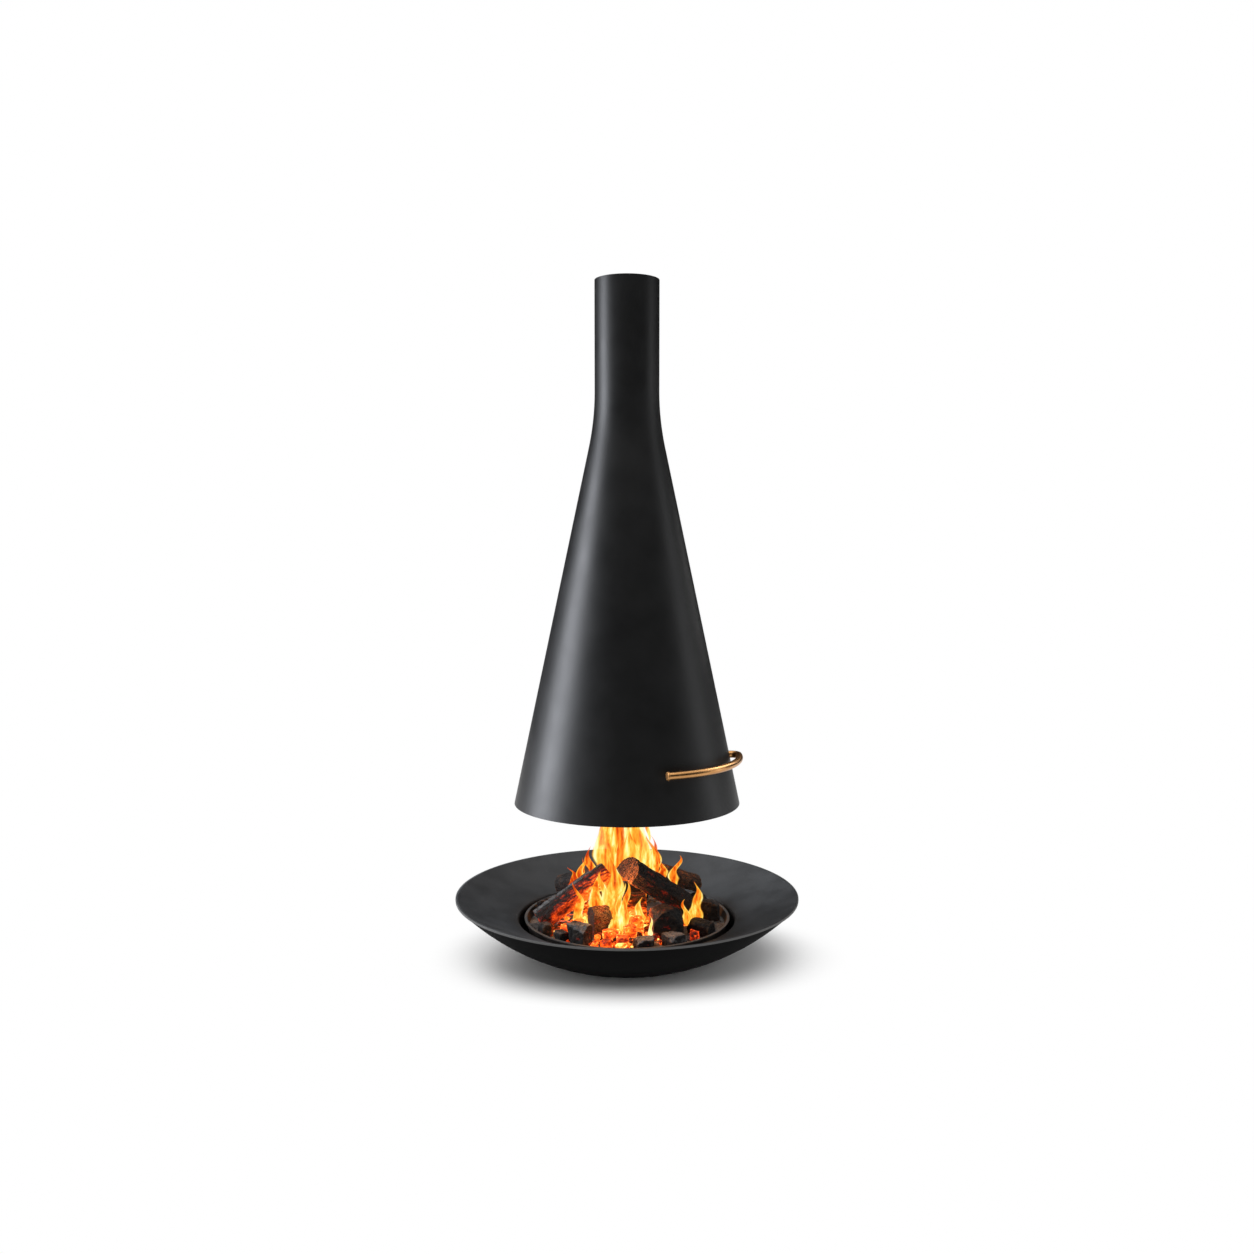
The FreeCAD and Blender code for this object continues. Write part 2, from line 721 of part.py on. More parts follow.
def hood_shell(holes):
    """Hood in one sheet: neck, long bend and cone, drilled for the grab rail's screws."""
    slant_foot = f"{BEND_FOOT} - hood_wall * {FLARE} / {SLANT}"
    slant_radius = f"{BEND_FOOT_RADIUS} - hood_wall / {SLANT}"
    body = turned([
        (hood_bore("rim_height"), "rim_height"),
        ("rim_radius", "rim_height"),
        (BEND_FOOT_RADIUS, BEND_FOOT, "shoulder_bend", CLOCKWISE),
        ("neck_radius", BEND_TOP),
        ("neck_radius", TOP_HEIGHT),
        (NECK_BORE, TOP_HEIGHT),
        (NECK_BORE, BEND_TOP, "shoulder_bend + hood_wall", ANTICLOCKWISE),
        (slant_radius, slant_foot),
    ])
    return keep(cut(body, *holes), "hood_shell")


def rim_ring():
    """Bar inside the hood's rim that keeps it round."""
    top = "rim_height + rim_ring_height"
    body = turned([
        (f"{hood_bore('rim_height')} - rim_ring_width", "rim_height"),
        (hood_bore("rim_height"), "rim_height"),
        (hood_bore(top), top),
        (f"{hood_bore(top)} - rim_ring_width", top),
    ])
    return keep(body, "rim_ring")


def neck_guide():
    """Ring in the neck's top that slides on the flue, with a groove for the rope seal."""
    seal_foot = f"{NECK_GUIDE_FOOT} + guide_height / 2 - seal_width / 2"
    seal_top = f"{NECK_GUIDE_FOOT} + guide_height / 2 + seal_width / 2"
    groove = f"{GUIDE_BORE} + seal_depth"
    body = turned([
        (GUIDE_BORE, NECK_GUIDE_FOOT),
        (NECK_BORE, NECK_GUIDE_FOOT),
        (NECK_BORE, TOP_HEIGHT),
        (GUIDE_BORE, TOP_HEIGHT),
        (GUIDE_BORE, seal_top),
        (groove, seal_top),
        (groove, seal_foot),
        (GUIDE_BORE, seal_foot),
    ])
    keep(body, "neck_guide")
    seal = turned([
        (GUIDE_BORE, seal_foot),
        (groove, seal_foot),
        (groove, seal_top),
        (GUIDE_BORE, seal_top),
    ])
    return keep(seal, "neck_seal")


def cable_arm(number):
    """Gusset on the hood's inside with a bored boss for a cable's socket."""
    foot = f"({ARM_TOP} - arm_boss_height)"
    root = f"({ARM_TOP} - arm_root)"
    body = turned([
        ("terminal_radius", foot),
        ("arm_boss_radius", foot),
        ("arm_boss_radius", ARM_TOP),
        ("terminal_radius", ARM_TOP),
    ])
    near = "(terminal_radius + arm_boss_radius) / 2"
    web = draw(sketch_on(body, "XZ_Plane"), [
        (near, foot),
        (f"{hood_bore(root)} - {CABLE_REACH} - weld_gap", root),
        (f"{hood_bore(ARM_TOP)} - {CABLE_REACH} - weld_gap", ARM_TOP),
        (near, ARM_TOP),
    ])
    pad(body, web, "arm_wall", both_ways=True)
    place(body, CABLE_REACH, turn=f"{round_angle(number)} + {CABLE_SWING}")
    return keep(body, f"cable_arm_{number + 1}")


RAIL_RADIUS = f"({hood_radius(HANDLE_HEIGHT)} + handle_gap + rod_radius)"
RAIL_FOOT = f"({hood_radius(HANDLE_HEIGHT)} - rod_radius)"
RAIL_BEND = f"sqrt(({RAIL_RADIUS} - rod_bend) ^ 2 - rod_bend ^ 2)"
RAIL_SCALE = f"({RAIL_RADIUS} / ({RAIL_RADIUS} - rod_bend))"
FREE_END = "(handle_end - handle_sweep)"
POST_ANGLE = f"({FREE_END} + post_inset)"
OUTWARD = FreeCAD.Rotation(ACROSS, RIGHT_ANGLE)


def rail_rod():
    """Round rod that follows the hood on the level, with one end bent in towards the hood."""
    body = doc.addObject("PartDesign::Body", "Body")
    path = draw(sketch_on(body, "XY_Plane"), [
        (RAIL_FOOT, "0"),
        (RAIL_BEND, "0", "rod_bend", CLOCKWISE),
        (f"{RAIL_BEND} * {RAIL_SCALE}", f"-rod_bend * {RAIL_SCALE}", RAIL_RADIUS, CLOCKWISE),
        (f"{RAIL_RADIUS} * cos(handle_sweep * 1 deg)", f"-{RAIL_RADIUS} * sin(handle_sweep * 1 deg)"),
    ], closed=False)
    section = draw_circle(sketch_on(body, "YZ_Plane", RAIL_FOOT), "0", "0", "rod_radius")
    pipe = body.newObject("PartDesign::AdditivePipe", "AdditivePipe")
    pipe.Profile = section
    pipe.Spine = (path, ["Edge1", "Edge2", "Edge3"])
    doc.recompute()
    return place(body, z=HANDLE_HEIGHT, turn="handle_end")


def hood_cone():
    """The cone that the hood's outside follows at the height of the rail, to shape what seats on it."""
    cone = doc.addObject("Part::Cone", "Cone")
    low, high = f"{HANDLE_HEIGHT} - 2 * rod_radius", f"{HANDLE_HEIGHT} + 2 * rod_radius"
    tie(cone, "Radius1", hood_radius(low))
    tie(cone, "Radius2", hood_radius(high))
    tie(cone, "Height", "4 * rod_radius")
    return place(cone, z=low, turn=f"{HALF_TURN}")


def radial_rod(radius, start, length, angle):
    """Level cylinder that points out from the axis at the rail's height."""
    return place(cylinder(radius, length), start, "0", HANDLE_HEIGHT, angle, OUTWARD)


def screw(angle, hood):
    """Screw from inside the hood, its head shaped to the wall."""
    head = f"({hood_bore(HANDLE_HEIGHT)} - screw_head_height)"
    wall = hood_bore(HANDLE_HEIGHT)
    tip = f"({hood_radius(HANDLE_HEIGHT)} + screw_depth)"
    body = turned([
        (head, "0"),
        (head, "screw_head_radius"),
        (wall, "screw_head_radius"),
        (wall, "screw_radius"),
        (tip, "screw_radius"),
        (tip, "0"),
    ], axis="H_Axis")
    place(body, z=HANDLE_HEIGHT, turn=angle)
    return cut(body, hood)


def grab_rail():
    """Rail, end cap, hidden post and their screws, all seated on the hood."""
    at_wall = hood_radius(HANDLE_HEIGHT)
    angles = ("handle_end", POST_ANGLE)
    drill = "(screw_radius + screw_gap)"
    drill_foot = f"({at_wall} - 2 * rod_radius)"
    holes = [radial_rod(drill, drill_foot, "4 * rod_radius", angle) for angle in angles]
    hood = hood_shell(holes)
    bores = [
        radial_rod("screw_radius + bore_gap", drill_foot, "2 * rod_radius + screw_depth", angle)
        for angle in angles
    ]
    rod = cut(rail_rod(), hood_cone())
    rail = keep(cut(rod, bores[0]), "handle_bar")
    post = radial_rod("post_radius", RAIL_FOOT, f"{RAIL_RADIUS} - {RAIL_FOOT}", POST_ANGLE)
    keep(cut(post, hood_cone(), rod, bores[1]), "handle_post")
    cap_radius = "(rod_radius + cap_lap)"
    cap = turned([
        ("0", "0"),
        (cap_radius, "0"),
        (cap_radius, "cap_wall - cap_round", "cap_round", ANTICLOCKWISE),
        (f"{cap_radius} - cap_round", "cap_wall"),
        ("0", "cap_wall"),
    ])
    backwards = FreeCAD.Rotation(UP, -RIGHT_ANGLE) * OUTWARD
    keep(place(cap, RAIL_RADIUS, "0", HANDLE_HEIGHT, FREE_END, backwards), "handle_cap")
    group("handle_screws", [screw(angle, hood) for angle in angles])
    return rail


# Counterweight

def weight_ring(number):
    """Thick ring round the flue, notched so that the hood's cables and arms pass, drilled for ties."""
    body = turned([
        (WEIGHT_BORE, "0"),
        ("weight_outer", "0"),
        ("weight_outer", "weight_height"),
        (WEIGHT_BORE, "weight_height"),
    ])
    half = "(arm_boss_radius + notch_gap)"
    floor = f"{CABLE_REACH} - {half}"
    outside = "weight_outer + notch_gap"
    notch = draw(sketch_on(body, "XY_Plane"), [
        (floor, f"-{half}"),
        (outside, f"-{half}"),
        (outside, half),
        (floor, half),
    ])
    repeat_round(body, pocket(body, notch), SHEAVE_COUNT)
    tie_angle = f"({HALF_TURN} / {SHEAVE_COUNT} * 1 deg)"
    drill = draw_circle(
        sketch_on(body, "XY_Plane"),
        f"{TIE_REACH} * cos{tie_angle}", f"{TIE_REACH} * sin{tie_angle}", "tie_radius + bore_gap",
    )
    repeat_round(body, pocket(body, drill), SHEAVE_COUNT)
    foot = f"{WEIGHT_FOOT} + {number} * weight_height"
    place(body, z=foot, turn=f"{round_angle(0)} + {CABLE_SWING}")
    return keep(body, f"weight_ring_{number + 1}")


def top_weight(ring):
    """The uppermost ring, bored for the cable sockets' tails."""
    depth = "terminal_depth + bore_gap"
    drills = [
        place(cylinder("terminal_radius + bore_gap", f"{depth} + weight_headroom"),
              SHEAVE_REACH, "-pitch_radius", f"{WEIGHT_TOP} - ({depth})", round_angle(number))
        for number in range(SHEAVE_COUNT)
    ]
    pieces.remove(ring)
    label = ring.Label
    ring.Label = "top_ring_blank"
    return keep(cut(ring, *drills), label)


def tie_rod(number):
    """Rod with a nut at each end that clamps the rings together."""
    top = f"({WEIGHT_COUNT} * weight_height)"
    body = turned([
        ("0", "-tie_head_height"),
        ("tie_head", "-tie_head_height"),
        ("tie_head", "0"),
        ("tie_radius", "0"),
        ("tie_radius", top),
        ("tie_head", top),
        ("tie_head", f"{top} + tie_head_height"),
        ("0", f"{top} + tie_head_height"),
    ])
    angle = f"{round_angle(number)} + {CABLE_SWING} + {HALF_TURN} / {SHEAVE_COUNT}"
    return place(body, TIE_REACH, "0", WEIGHT_FOOT, angle)


# Assembly

def build_hearth():
    outer_dish()
    inner_dish()
    pan_stand()
    pan = fire_pan()
    beds = [pan, ash_bed()]
    beds.append(lumps("charcoal", COAL_SHARES, COAL_WIDTH, COAL_HEIGHT))
    beds.append(lumps("embers", EMBER_SHARES, EMBER_WIDTH, EMBER_HEIGHT))
    for label in LOG_SHARES:
        beds.append(log(label, beds))


def build_flue():
    rounds = range(SHEAVE_COUNT)
    flue_pipe()
    flue_guide()
    for number in rounds:
        sheave_stud(number)
        sheave(number)
    group("sheave_clips", [sheave_clip(number) for number in rounds])
    group("cable_wraps", [cable_wrap(number) for number in rounds])


def build_hood():
    rounds = range(SHEAVE_COUNT)
    grab_rail()
    rim_ring()
    neck_guide()
    for number in rounds:
        cable_arm(number)
    tail = "arm_boss_height + nut_height"
    sockets = [socket(number, ANTICLOCKWISE, ARM_TOP, tail) for number in rounds]
    group("arm_sockets", sockets)
    group("arm_nuts", [arm_nut(number) for number in rounds])
    runs = [cable_run(number, ANTICLOCKWISE, f"{ARM_TOP} + socket_height") for number in rounds]
    group("lift_cables", runs)


def build_counterweight():
    rounds = range(SHEAVE_COUNT)
    rings = [weight_ring(number) for number in range(WEIGHT_COUNT)]
    top_weight(rings[-1])
    group("tie_rods", [tie_rod(number) for number in rounds])
    group("weight_sockets", [socket(number, CLOCKWISE, WEIGHT_TOP, "terminal_depth") for number in rounds])
    runs = [cable_run(number, CLOCKWISE, f"{WEIGHT_TOP} + socket_height") for number in rounds]
    group("weight_cables", runs)


def check_and_write():
    doc.recompute()
    for thing in doc.Objects:
        if "Invalid" in thing.State or "Error" in thing.State:
            raise RuntimeError(f"{thing.Label} failed: {thing.State}")
    for piece in pieces:
        if piece.Shape.isNull() or not piece.Shape.isValid() or not piece.Shape.Solids:
            raise RuntimeError(f"{piece.Label} has no valid solid")
    os.makedirs("parts", exist_ok=True)
    for piece in pieces:
        piece.Shape.exportStep(f"parts/{piece.Label}.step")


build_hearth()
build_flue()
build_hood()
build_counterweight()
check_and_write()
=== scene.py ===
"""Looks of a hanging hood fireplace over a floor bowl: coatings, hearth, burning logs, flames and stage."""
import json
import math
import random

import bmesh
import bpy
import numpy as np
from bpy.props import FloatProperty, FloatVectorProperty, IntProperty, PointerProperty
from mathutils import Matrix, Vector, noise


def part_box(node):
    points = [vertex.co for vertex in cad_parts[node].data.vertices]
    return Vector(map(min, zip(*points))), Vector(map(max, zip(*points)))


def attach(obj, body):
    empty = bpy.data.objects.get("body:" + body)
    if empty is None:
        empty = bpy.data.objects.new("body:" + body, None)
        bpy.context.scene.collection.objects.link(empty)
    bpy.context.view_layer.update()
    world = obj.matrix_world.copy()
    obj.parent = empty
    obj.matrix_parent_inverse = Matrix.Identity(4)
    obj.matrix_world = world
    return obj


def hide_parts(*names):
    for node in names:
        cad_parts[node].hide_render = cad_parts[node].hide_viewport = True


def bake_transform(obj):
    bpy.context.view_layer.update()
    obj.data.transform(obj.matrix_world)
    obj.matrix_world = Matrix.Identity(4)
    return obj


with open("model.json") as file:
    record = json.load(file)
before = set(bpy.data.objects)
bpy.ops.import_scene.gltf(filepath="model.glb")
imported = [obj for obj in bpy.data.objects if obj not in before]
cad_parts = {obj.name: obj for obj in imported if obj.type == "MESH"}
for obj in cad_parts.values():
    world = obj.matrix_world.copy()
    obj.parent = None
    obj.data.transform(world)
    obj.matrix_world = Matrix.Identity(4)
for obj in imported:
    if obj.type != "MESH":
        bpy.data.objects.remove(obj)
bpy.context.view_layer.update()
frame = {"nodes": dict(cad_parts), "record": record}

bl_info = {
    "name": "Hanging hood fireplace",
    "version": (1, 0, 0),
    "blender": (4, 5, 0),
    "location": "View3D > Sidebar > Fireplace",
    "description": "Dresses the fireplace's frame with coatings, a burning fire and a stage",
    "category": "Add Mesh",
}

TURN = 2 * math.pi
QUARTER = TURN / 4
AXIS = Vector((0, 0, 1))
WELD = 1e-6
TINY = 1e-9
MM_PER_M = 1000
BLACK = (0, 0, 0)
WHITE = (1, 1, 1)

# The fire's middle, from which heat fades, and the share of its reach that is hot all through
FIRE_CORE = Vector((-0.06, -0.05, 0.17))
HOT_SHARE = 0.15

# A colour mix node repeats its sockets' names, so they go by number
MIX_SHARE = 0
MIX_FIRST = 6
MIX_SECOND = 7
MIX_COLOUR = 2

# Burnt logs: mesh size and depths in metres, patterns as repeats per metre along, across and up the log
LOG_VOXEL = 0.0034
LOG_SKIN = 0.0014
FURROW_DEPTH = 0.0016
HOLLOW_DEPTH = 0.0022
CHECK_DEPTH = 0.0022
END_CHECK_DEPTH = 0.0006
LOG_FURROWS = Vector((9, 75, 75))
LOG_HOLLOWS = 17
LOG_CHECKS = Vector((30, 46, 46))
LOG_CHECK_WIDTH = 0.16
END_FACING = 0.75
PATTERN_STEP = (3.7, 1.9, 5.3)

# Coals and crumbs: patterns as repeats per metre, the crumbs' stretch and dents as shares of their size
LUMP_BLOCKS = 42
LUMP_CHIPS = 38
LUMP_CRACK_WIDTH = 0.14
CRUMB_STRETCH = ((0.7, 1.5), (0.6, 1.1), (0.4, 0.8))
CRUMB_CORNERS = 190
CRUMB_DENT = 0.45

# Cables: grooves between strands as a share of the radius, sides of a strand and steps in one lay
ROPE_GROOVE = 0.12
ROPE_SIDES = 4
ROPE_STEPS = 14
ROPE_LEAST_STEPS = 8

# Flames: faces across and up a tongue, shares of its width and height, its waves, and its tip in metres
TONGUE_ACROSS = 10
TONGUE_UP = 44
TONGUE_FOOT = 0.62
TONGUE_GROWTH = 0.9
TONGUE_BELLY = 0.3
TONGUE_TAPER = 0.85
TONGUE_SWAYS = 1.15
TONGUE_PINCH = 0.18
TONGUE_PINCHES = 2.3
TONGUE_CUP = 0.35
TONGUE_CUPS = 0.8
TONGUE_TIP = 0.0004


class Wire:
    """A node's output that takes part in sums as a number does."""

    def __init__(self, paint, socket):
        self.paint = paint
        self.socket = socket

    def sum(self, operation, *others):
        """Combines this value with others in one math node."""
        return self.paint.add("ShaderNodeMath", (self, *others), operation=operation)

    def __add__(self, other):
        return self.sum("ADD", other)

    def __sub__(self, other):
        return self.sum("SUBTRACT", other)

    def __mul__(self, other):
        return self.sum("MULTIPLY", other)

    def __rsub__(self, other):
        return self.sum("MULTIPLY_ADD", -1.0, other)

    def __pow__(self, other):
        return self.sum("POWER", other)

    __radd__ = __add__
    __rmul__ = __mul__

    def size(self):
        """The value without its sign."""
        return self.sum("ABSOLUTE")

    def rise(self, low, high, first=0.0, last=1.0):
        """A smooth step from first to last between low and high."""
        settings = {"interpolation_type": "SMOOTHSTEP"}
        return self.paint.add("ShaderNodeMapRange", (self, low, high, first, last), **settings)

    def part(self, name):
        """One component of a vector."""
        return self.paint.add("ShaderNodeSeparateXYZ", (self,), name)

    def ramp(self, *stops):
        """A colour for each value, from (place, colour) stops."""
        return self.paint.add("ShaderNodeValToRGB", (self,), stops=stops)


class Nodes:
    """A node tree in the making, of a material or of the sky."""

    def __init__(self, tree):
        self.tree = tree
        self.tree.nodes.clear()

    def add(self, kind, inputs=(), out=0, **settings):
        """Adds a node, sets it and feeds it, and gives one of its outputs."""
        node = self.tree.nodes.new(kind)
        for name, setting in settings.items():
            if name == "stops":
                self.set_stops(node.color_ramp.elements, setting)
            else:
                setattr(node, name, setting)
        pairs = inputs.items() if isinstance(inputs, dict) else enumerate(inputs)
        for key, given in pairs:
            socket = node.inputs[key]
            if isinstance(given, Wire):
                self.tree.links.new(given.socket, socket)
            elif socket.type == "RGBA":
                socket.default_value = (*given, 1)
            else:
                socket.default_value = given
        return Wire(self, node.outputs[out]) if node.outputs else None

    @staticmethod
    def set_stops(elements, stops):
        """Gives a ramp its places and colours."""
        for element, (place, colour) in zip((elements[0], elements[1]), (stops[0], stops[-1])):
            element.position = place
            element.color = (*colour, 1)
        for place, colour in stops[1:-1]:
            elements.new(place).color = (*colour, 1)

    def shown(self):
        """1 for a ray that shows a surface, from the camera, in gloss or through glass, and 0 for light."""
        kinds = ("Camera", "Glossy", "Transmission")
        direct, mirrored, through = (self.add("ShaderNodeLightPath", out=f"Is {kind} Ray") for kind in kinds)
        return direct.sum("MAXIMUM", mirrored).sum("MAXIMUM", through)


class Paint(Nodes):
    """A material in the making."""

    def __init__(self, name):
        self.material = bpy.data.materials.new(name)
        self.material.use_nodes = True
        super().__init__(self.material.node_tree)
        self.place = self.add("ShaderNodeTexCoord", out="Object")

    def scaled(self, stretch, place=None):
        """Coordinates scaled along each axis."""
        source = place or self.place
        return self.add("ShaderNodeVectorMath", (source, stretch), operation="MULTIPLY")

    def noise(self, scale, detail=3.0, rough=0.55, place=None):
        """Soft noise from 0 to 1."""
        inputs = {"Vector": place or self.place, "Scale": scale, "Detail": detail, "Roughness": rough}
        return self.add("ShaderNodeTexNoise", inputs)

    def cells(self, scale, place=None, feature="F1"):
        """Distance in a cell pattern."""
        inputs = {"Vector": place or self.place, "Scale": scale}
        return self.add("ShaderNodeTexVoronoi", inputs, "Distance", feature=feature)

    def attribute(self, name, out="Fac"):
        """A value stored on the mesh."""
        return self.add("ShaderNodeAttribute", out=out, attribute_name=name)

    def mix(self, share, first, second):
        """A colour between two others."""
        inputs = {MIX_SHARE: share, MIX_FIRST: first, MIX_SECOND: second}
        return self.add("ShaderNodeMix", inputs, MIX_COLOUR, data_type="RGBA")

    def bump(self, height, strength, distance):
        """A normal tilted by a height in metres times distance."""
        inputs = {"Height": height, "Strength": strength, "Distance": distance}
        return self.add("ShaderNodeBump", inputs, "Normal")

    def surface(self, **inputs):
        """Closes the material with a principled shader, its sockets named with underscores."""
        named = {key.replace("_", " "): given for key, given in inputs.items()}
        self.close(self.add("ShaderNodeBsdfPrincipled", named))
        return self.material

    def close(self, shader):
        """Feeds the shader to the output."""
        self.add("ShaderNodeOutputMaterial", {"Surface": shader})
        return self.material


def powder_coat(name, dark, light, roughness, gloss):
    """Fine-grained satin coating with a faint cloudiness."""
    paint = Paint(name)
    cloud = paint.noise(9.0, 4.0)
    grain = paint.noise(700.0, 2.0)
    speck = paint.noise(1900.0, 1.0)
    tone = (cloud * 0.6 + grain * 0.4).rise(0.3, 0.7)
    return paint.surface(
        Base_Color=paint.mix(tone, dark, light),
        Roughness=(cloud * 0.5 + grain * 0.5).rise(0.25, 0.75, roughness - 0.05, roughness + 0.06),
        Specular_IOR_Level=gloss,
        Normal=paint.bump(grain * 0.7 + speck * 0.3, 0.12, 0.0006),
    )


def hearth_coat(name, dark, light):
    """Matt hearth coating, smoked near the well, dusted with ash, and with a painted pale highlight along its
    rim.
    """
    paint = Paint(name)
    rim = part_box("inner_dish")[1].x
    rim_highlight_width = 0.004
    smoke_edge = 0.44
    smoke_full = 0.37
    soot = (0.022, 0.016, 0.012)
    # Grey of the ash dust and of the painted rim highlight
    ash_and_highlight_grey = (0.20, 0.195, 0.19)
    across = paint.place.part("X")
    deep = paint.place.part("Y")
    reach = (across * across + deep * deep) ** 0.5
    cloud = paint.noise(11.0, 5.0)
    grain = paint.noise(800.0, 2.0)
    dust = paint.noise(260.0, 3.0).rise(0.6, 0.75) * paint.noise(14.0, 3.0).rise(0.45, 0.7)
    smoke = (reach + cloud * 0.05).rise(smoke_edge, smoke_full)
    # Painted highlight: a pale line along the rim, where light catches its rounded edge
    painted_rim_highlight = (reach + cloud * 0.002).rise(rim - rim_highlight_width, rim)
    coat = paint.mix(cloud.rise(0.3, 0.7), dark, light)
    smoked = paint.mix(smoke * 0.75, coat, soot)
    return paint.surface(
        Base_Color=paint.mix(dust * 0.35 + painted_rim_highlight * 0.3, smoked, ash_and_highlight_grey),
        Roughness=(cloud * 0.6 + dust * 0.4).rise(0.2, 0.8, 0.50, 0.66),
        Specular_IOR_Level=0.35,
        Normal=paint.bump(grain + dust * 0.6, 0.15, 0.0006),
    )


def brass(name, bright, dull, roughness):
    """Satin copper-toned brass, finely brushed and a little duller in patches."""
    paint = Paint(name)
    brushed = paint.noise(900.0, 2.0)
    worn = paint.noise(14.0, 2.0)
    return paint.surface(
        Base_Color=paint.mix(worn.rise(0.35, 0.7), bright, dull),
        Roughness=(brushed * 0.5 + worn * 0.5).rise(0.25, 0.75, roughness - 0.03, roughness + 0.04),
        Metallic=1.0,
        Normal=paint.bump(brushed, 0.03, 0.0002),
    )


def bare_steel(name):
    """Brushed steel with a little tarnish."""
    paint = Paint(name)
    clean = (0.50, 0.50, 0.51)
    dulled = (0.33, 0.32, 0.31)
    brushed = paint.noise(45.0, 3.0, place=paint.scaled((1.0, 1.0, 30.0)))
    tarnish = paint.noise(13.0, 4.0)
    return paint.surface(
        Base_Color=paint.mix(tarnish.rise(0.35, 0.75), clean, dulled),
        Roughness=(brushed * 0.6 + tarnish * 0.4).rise(0.25, 0.75, 0.27, 0.46),
        Metallic=1.0,
        Normal=paint.bump(brushed, 0.10, 0.0003),
    )


def cast_pan(name):
    """Cast pan, with a painted pale grey highlight along its rim and its floor browned by the fire."""
    paint = Paint(name)
    height = paint.place.part("Z")
    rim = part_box("fire_pan")[1].z
    rim_highlight_depth = 0.0012
    rim_highlight_over = 0.0002
    rim_highlight_grey = (0.085, 0.082, 0.080)
    brown_dark = (0.030, 0.024, 0.020)
    brown_light = (0.075, 0.060, 0.050)
    cast = paint.noise(420.0, 3.0)
    cloud = paint.noise(17.0, 4.0)
    # Painted highlight: a pale grey band round the top of the rim, where light catches it
    painted_rim_highlight = (height + cloud * 0.001).rise(rim - rim_highlight_depth, rim + rim_highlight_over)
    floor = paint.mix(cloud.rise(0.3, 0.7), brown_dark, brown_light)
    return paint.surface(
        Base_Color=paint.mix(painted_rim_highlight, floor, rim_highlight_grey),
        Roughness=cloud.rise(0.3, 0.7, 0.48, 0.68),
        Metallic=0.25,
        Normal=paint.bump(cast, 0.25, 0.001),
    )


def rope_seal(name):
    """Woven glass rope, seen as a fine uneven weave."""
    paint = Paint(name)
    yarn = (0.62, 0.60, 0.55)
    gap = (0.22, 0.21, 0.19)
    weave = paint.cells(260.0, place=paint.scaled((1.0, 1.0, 2.2)))
    fluff = paint.noise(500.0, 2.0)
    return paint.surface(
        Base_Color=paint.mix(weave.rise(0.1, 0.7), yarn, gap),
        Roughness=fluff.rise(0.2, 0.8, 0.85, 1.0),
        Normal=paint.bump(weave * -1.0 + fluff * 0.4, 0.6, 0.002),
    )


def ash(name):
    """Powdery ash, pale over charred grit, that glows dully under the embers."""
    paint = Paint(name)
    heap = paint.noise(26.0, 5.0, 0.65)
    grit = paint.noise(240.0, 4.0, 0.7)
    tone = heap * 0.55 + grit * 0.45
    glow = paint.attribute("warmth") * paint.noise(55.0, 3.0).rise(0.42, 0.68)
    return paint.surface(
        Base_Color=tone.ramp(
            (0.36, (0.020, 0.017, 0.015)),
            (0.50, (0.085, 0.077, 0.070)),
            (0.66, (0.30, 0.29, 0.28)),
        ),
        Roughness=grit.rise(0.2, 0.8, 0.85, 1.0),
        Emission_Color=glow.ramp(
            (0.08, BLACK),
            (0.40, (0.65, 0.06, 0.004)),
            (0.85, (1.0, 0.55, 0.10)),
        ),
        Emission_Strength=2.6,
        Normal=paint.bump(tone, 0.7, 0.006),
    )


def burning(name, bark, wood, strength):
    """Charred wood: checked char, bare wood, pale ash and glowing parts, led by the mesh's own values."""
    paint = Paint(name)
    deep_char = (0.006, 0.005, 0.005)
    grey_ash = (0.20, 0.20, 0.21)
    dark_figure = tuple(part * 0.32 for part in wood)
    grain = paint.attribute("grain", "Vector")
    fibre = paint.noise(1.0, 5.0, 0.6, place=paint.scaled((9.0, 150.0, 150.0), grain))
    checks = paint.cells(1.0, paint.scaled((38.0, 62.0, 62.0), grain), "DISTANCE_TO_EDGE")
    cloud = paint.noise(30.0, 5.0, 0.6)
    fine = paint.noise(210.0, 4.0, 0.65)
    heat = paint.attribute("warmth")
    pale = paint.attribute("ash")
    bare = paint.attribute("bare")
    worn = paint.attribute("edge")
    crack = checks.rise(0.09, 0.01)
    char = paint.mix(fibre.rise(0.3, 0.75), deep_char, bark)
    figure = paint.noise(1.0, 3.0, 0.5, place=paint.scaled((7.0, 190.0, 24.0), grain))
    timber = paint.mix((figure * 0.75 + fibre * 0.25).rise(0.40, 0.60), wood, dark_figure)
    body = paint.mix((bare + cloud * 0.7 - 0.35).rise(0.25, 0.6), char, timber)
    dusted = (pale + fine * 0.5 + cloud * 0.4 - 0.45).rise(0.35, 0.75)
    body = paint.mix(worn * 0.5, body, wood)
    flicker = paint.noise(1.0, 4.0, 0.6, place=paint.scaled((26.0, 60.0, 60.0), grain))
    hot = heat * (1.05 + worn * 0.5) + flicker * 1.5 + fine * 0.6 - 1.2 - dusted * 0.4
    glow = hot.ramp(
        (0.16, BLACK),
        (0.36, (0.14, 0.006, 0.0005)),
        (0.58, (0.62, 0.045, 0.003)),
        (0.78, (1.0, 0.19, 0.012)),
        (0.98, (1.0, 0.62, 0.14)),
    )
    return paint.surface(
        Base_Color=paint.mix(dusted, body, grey_ash),
        Roughness=fibre.rise(0.2, 0.8, 0.62, 0.9),
        Specular_IOR_Level=0.3,
        Emission_Color=glow,
        Emission_Strength=strength,
        Normal=paint.bump(fibre * 0.6 + crack * -0.8 + fine * 0.4, 0.75, 0.004),
    )


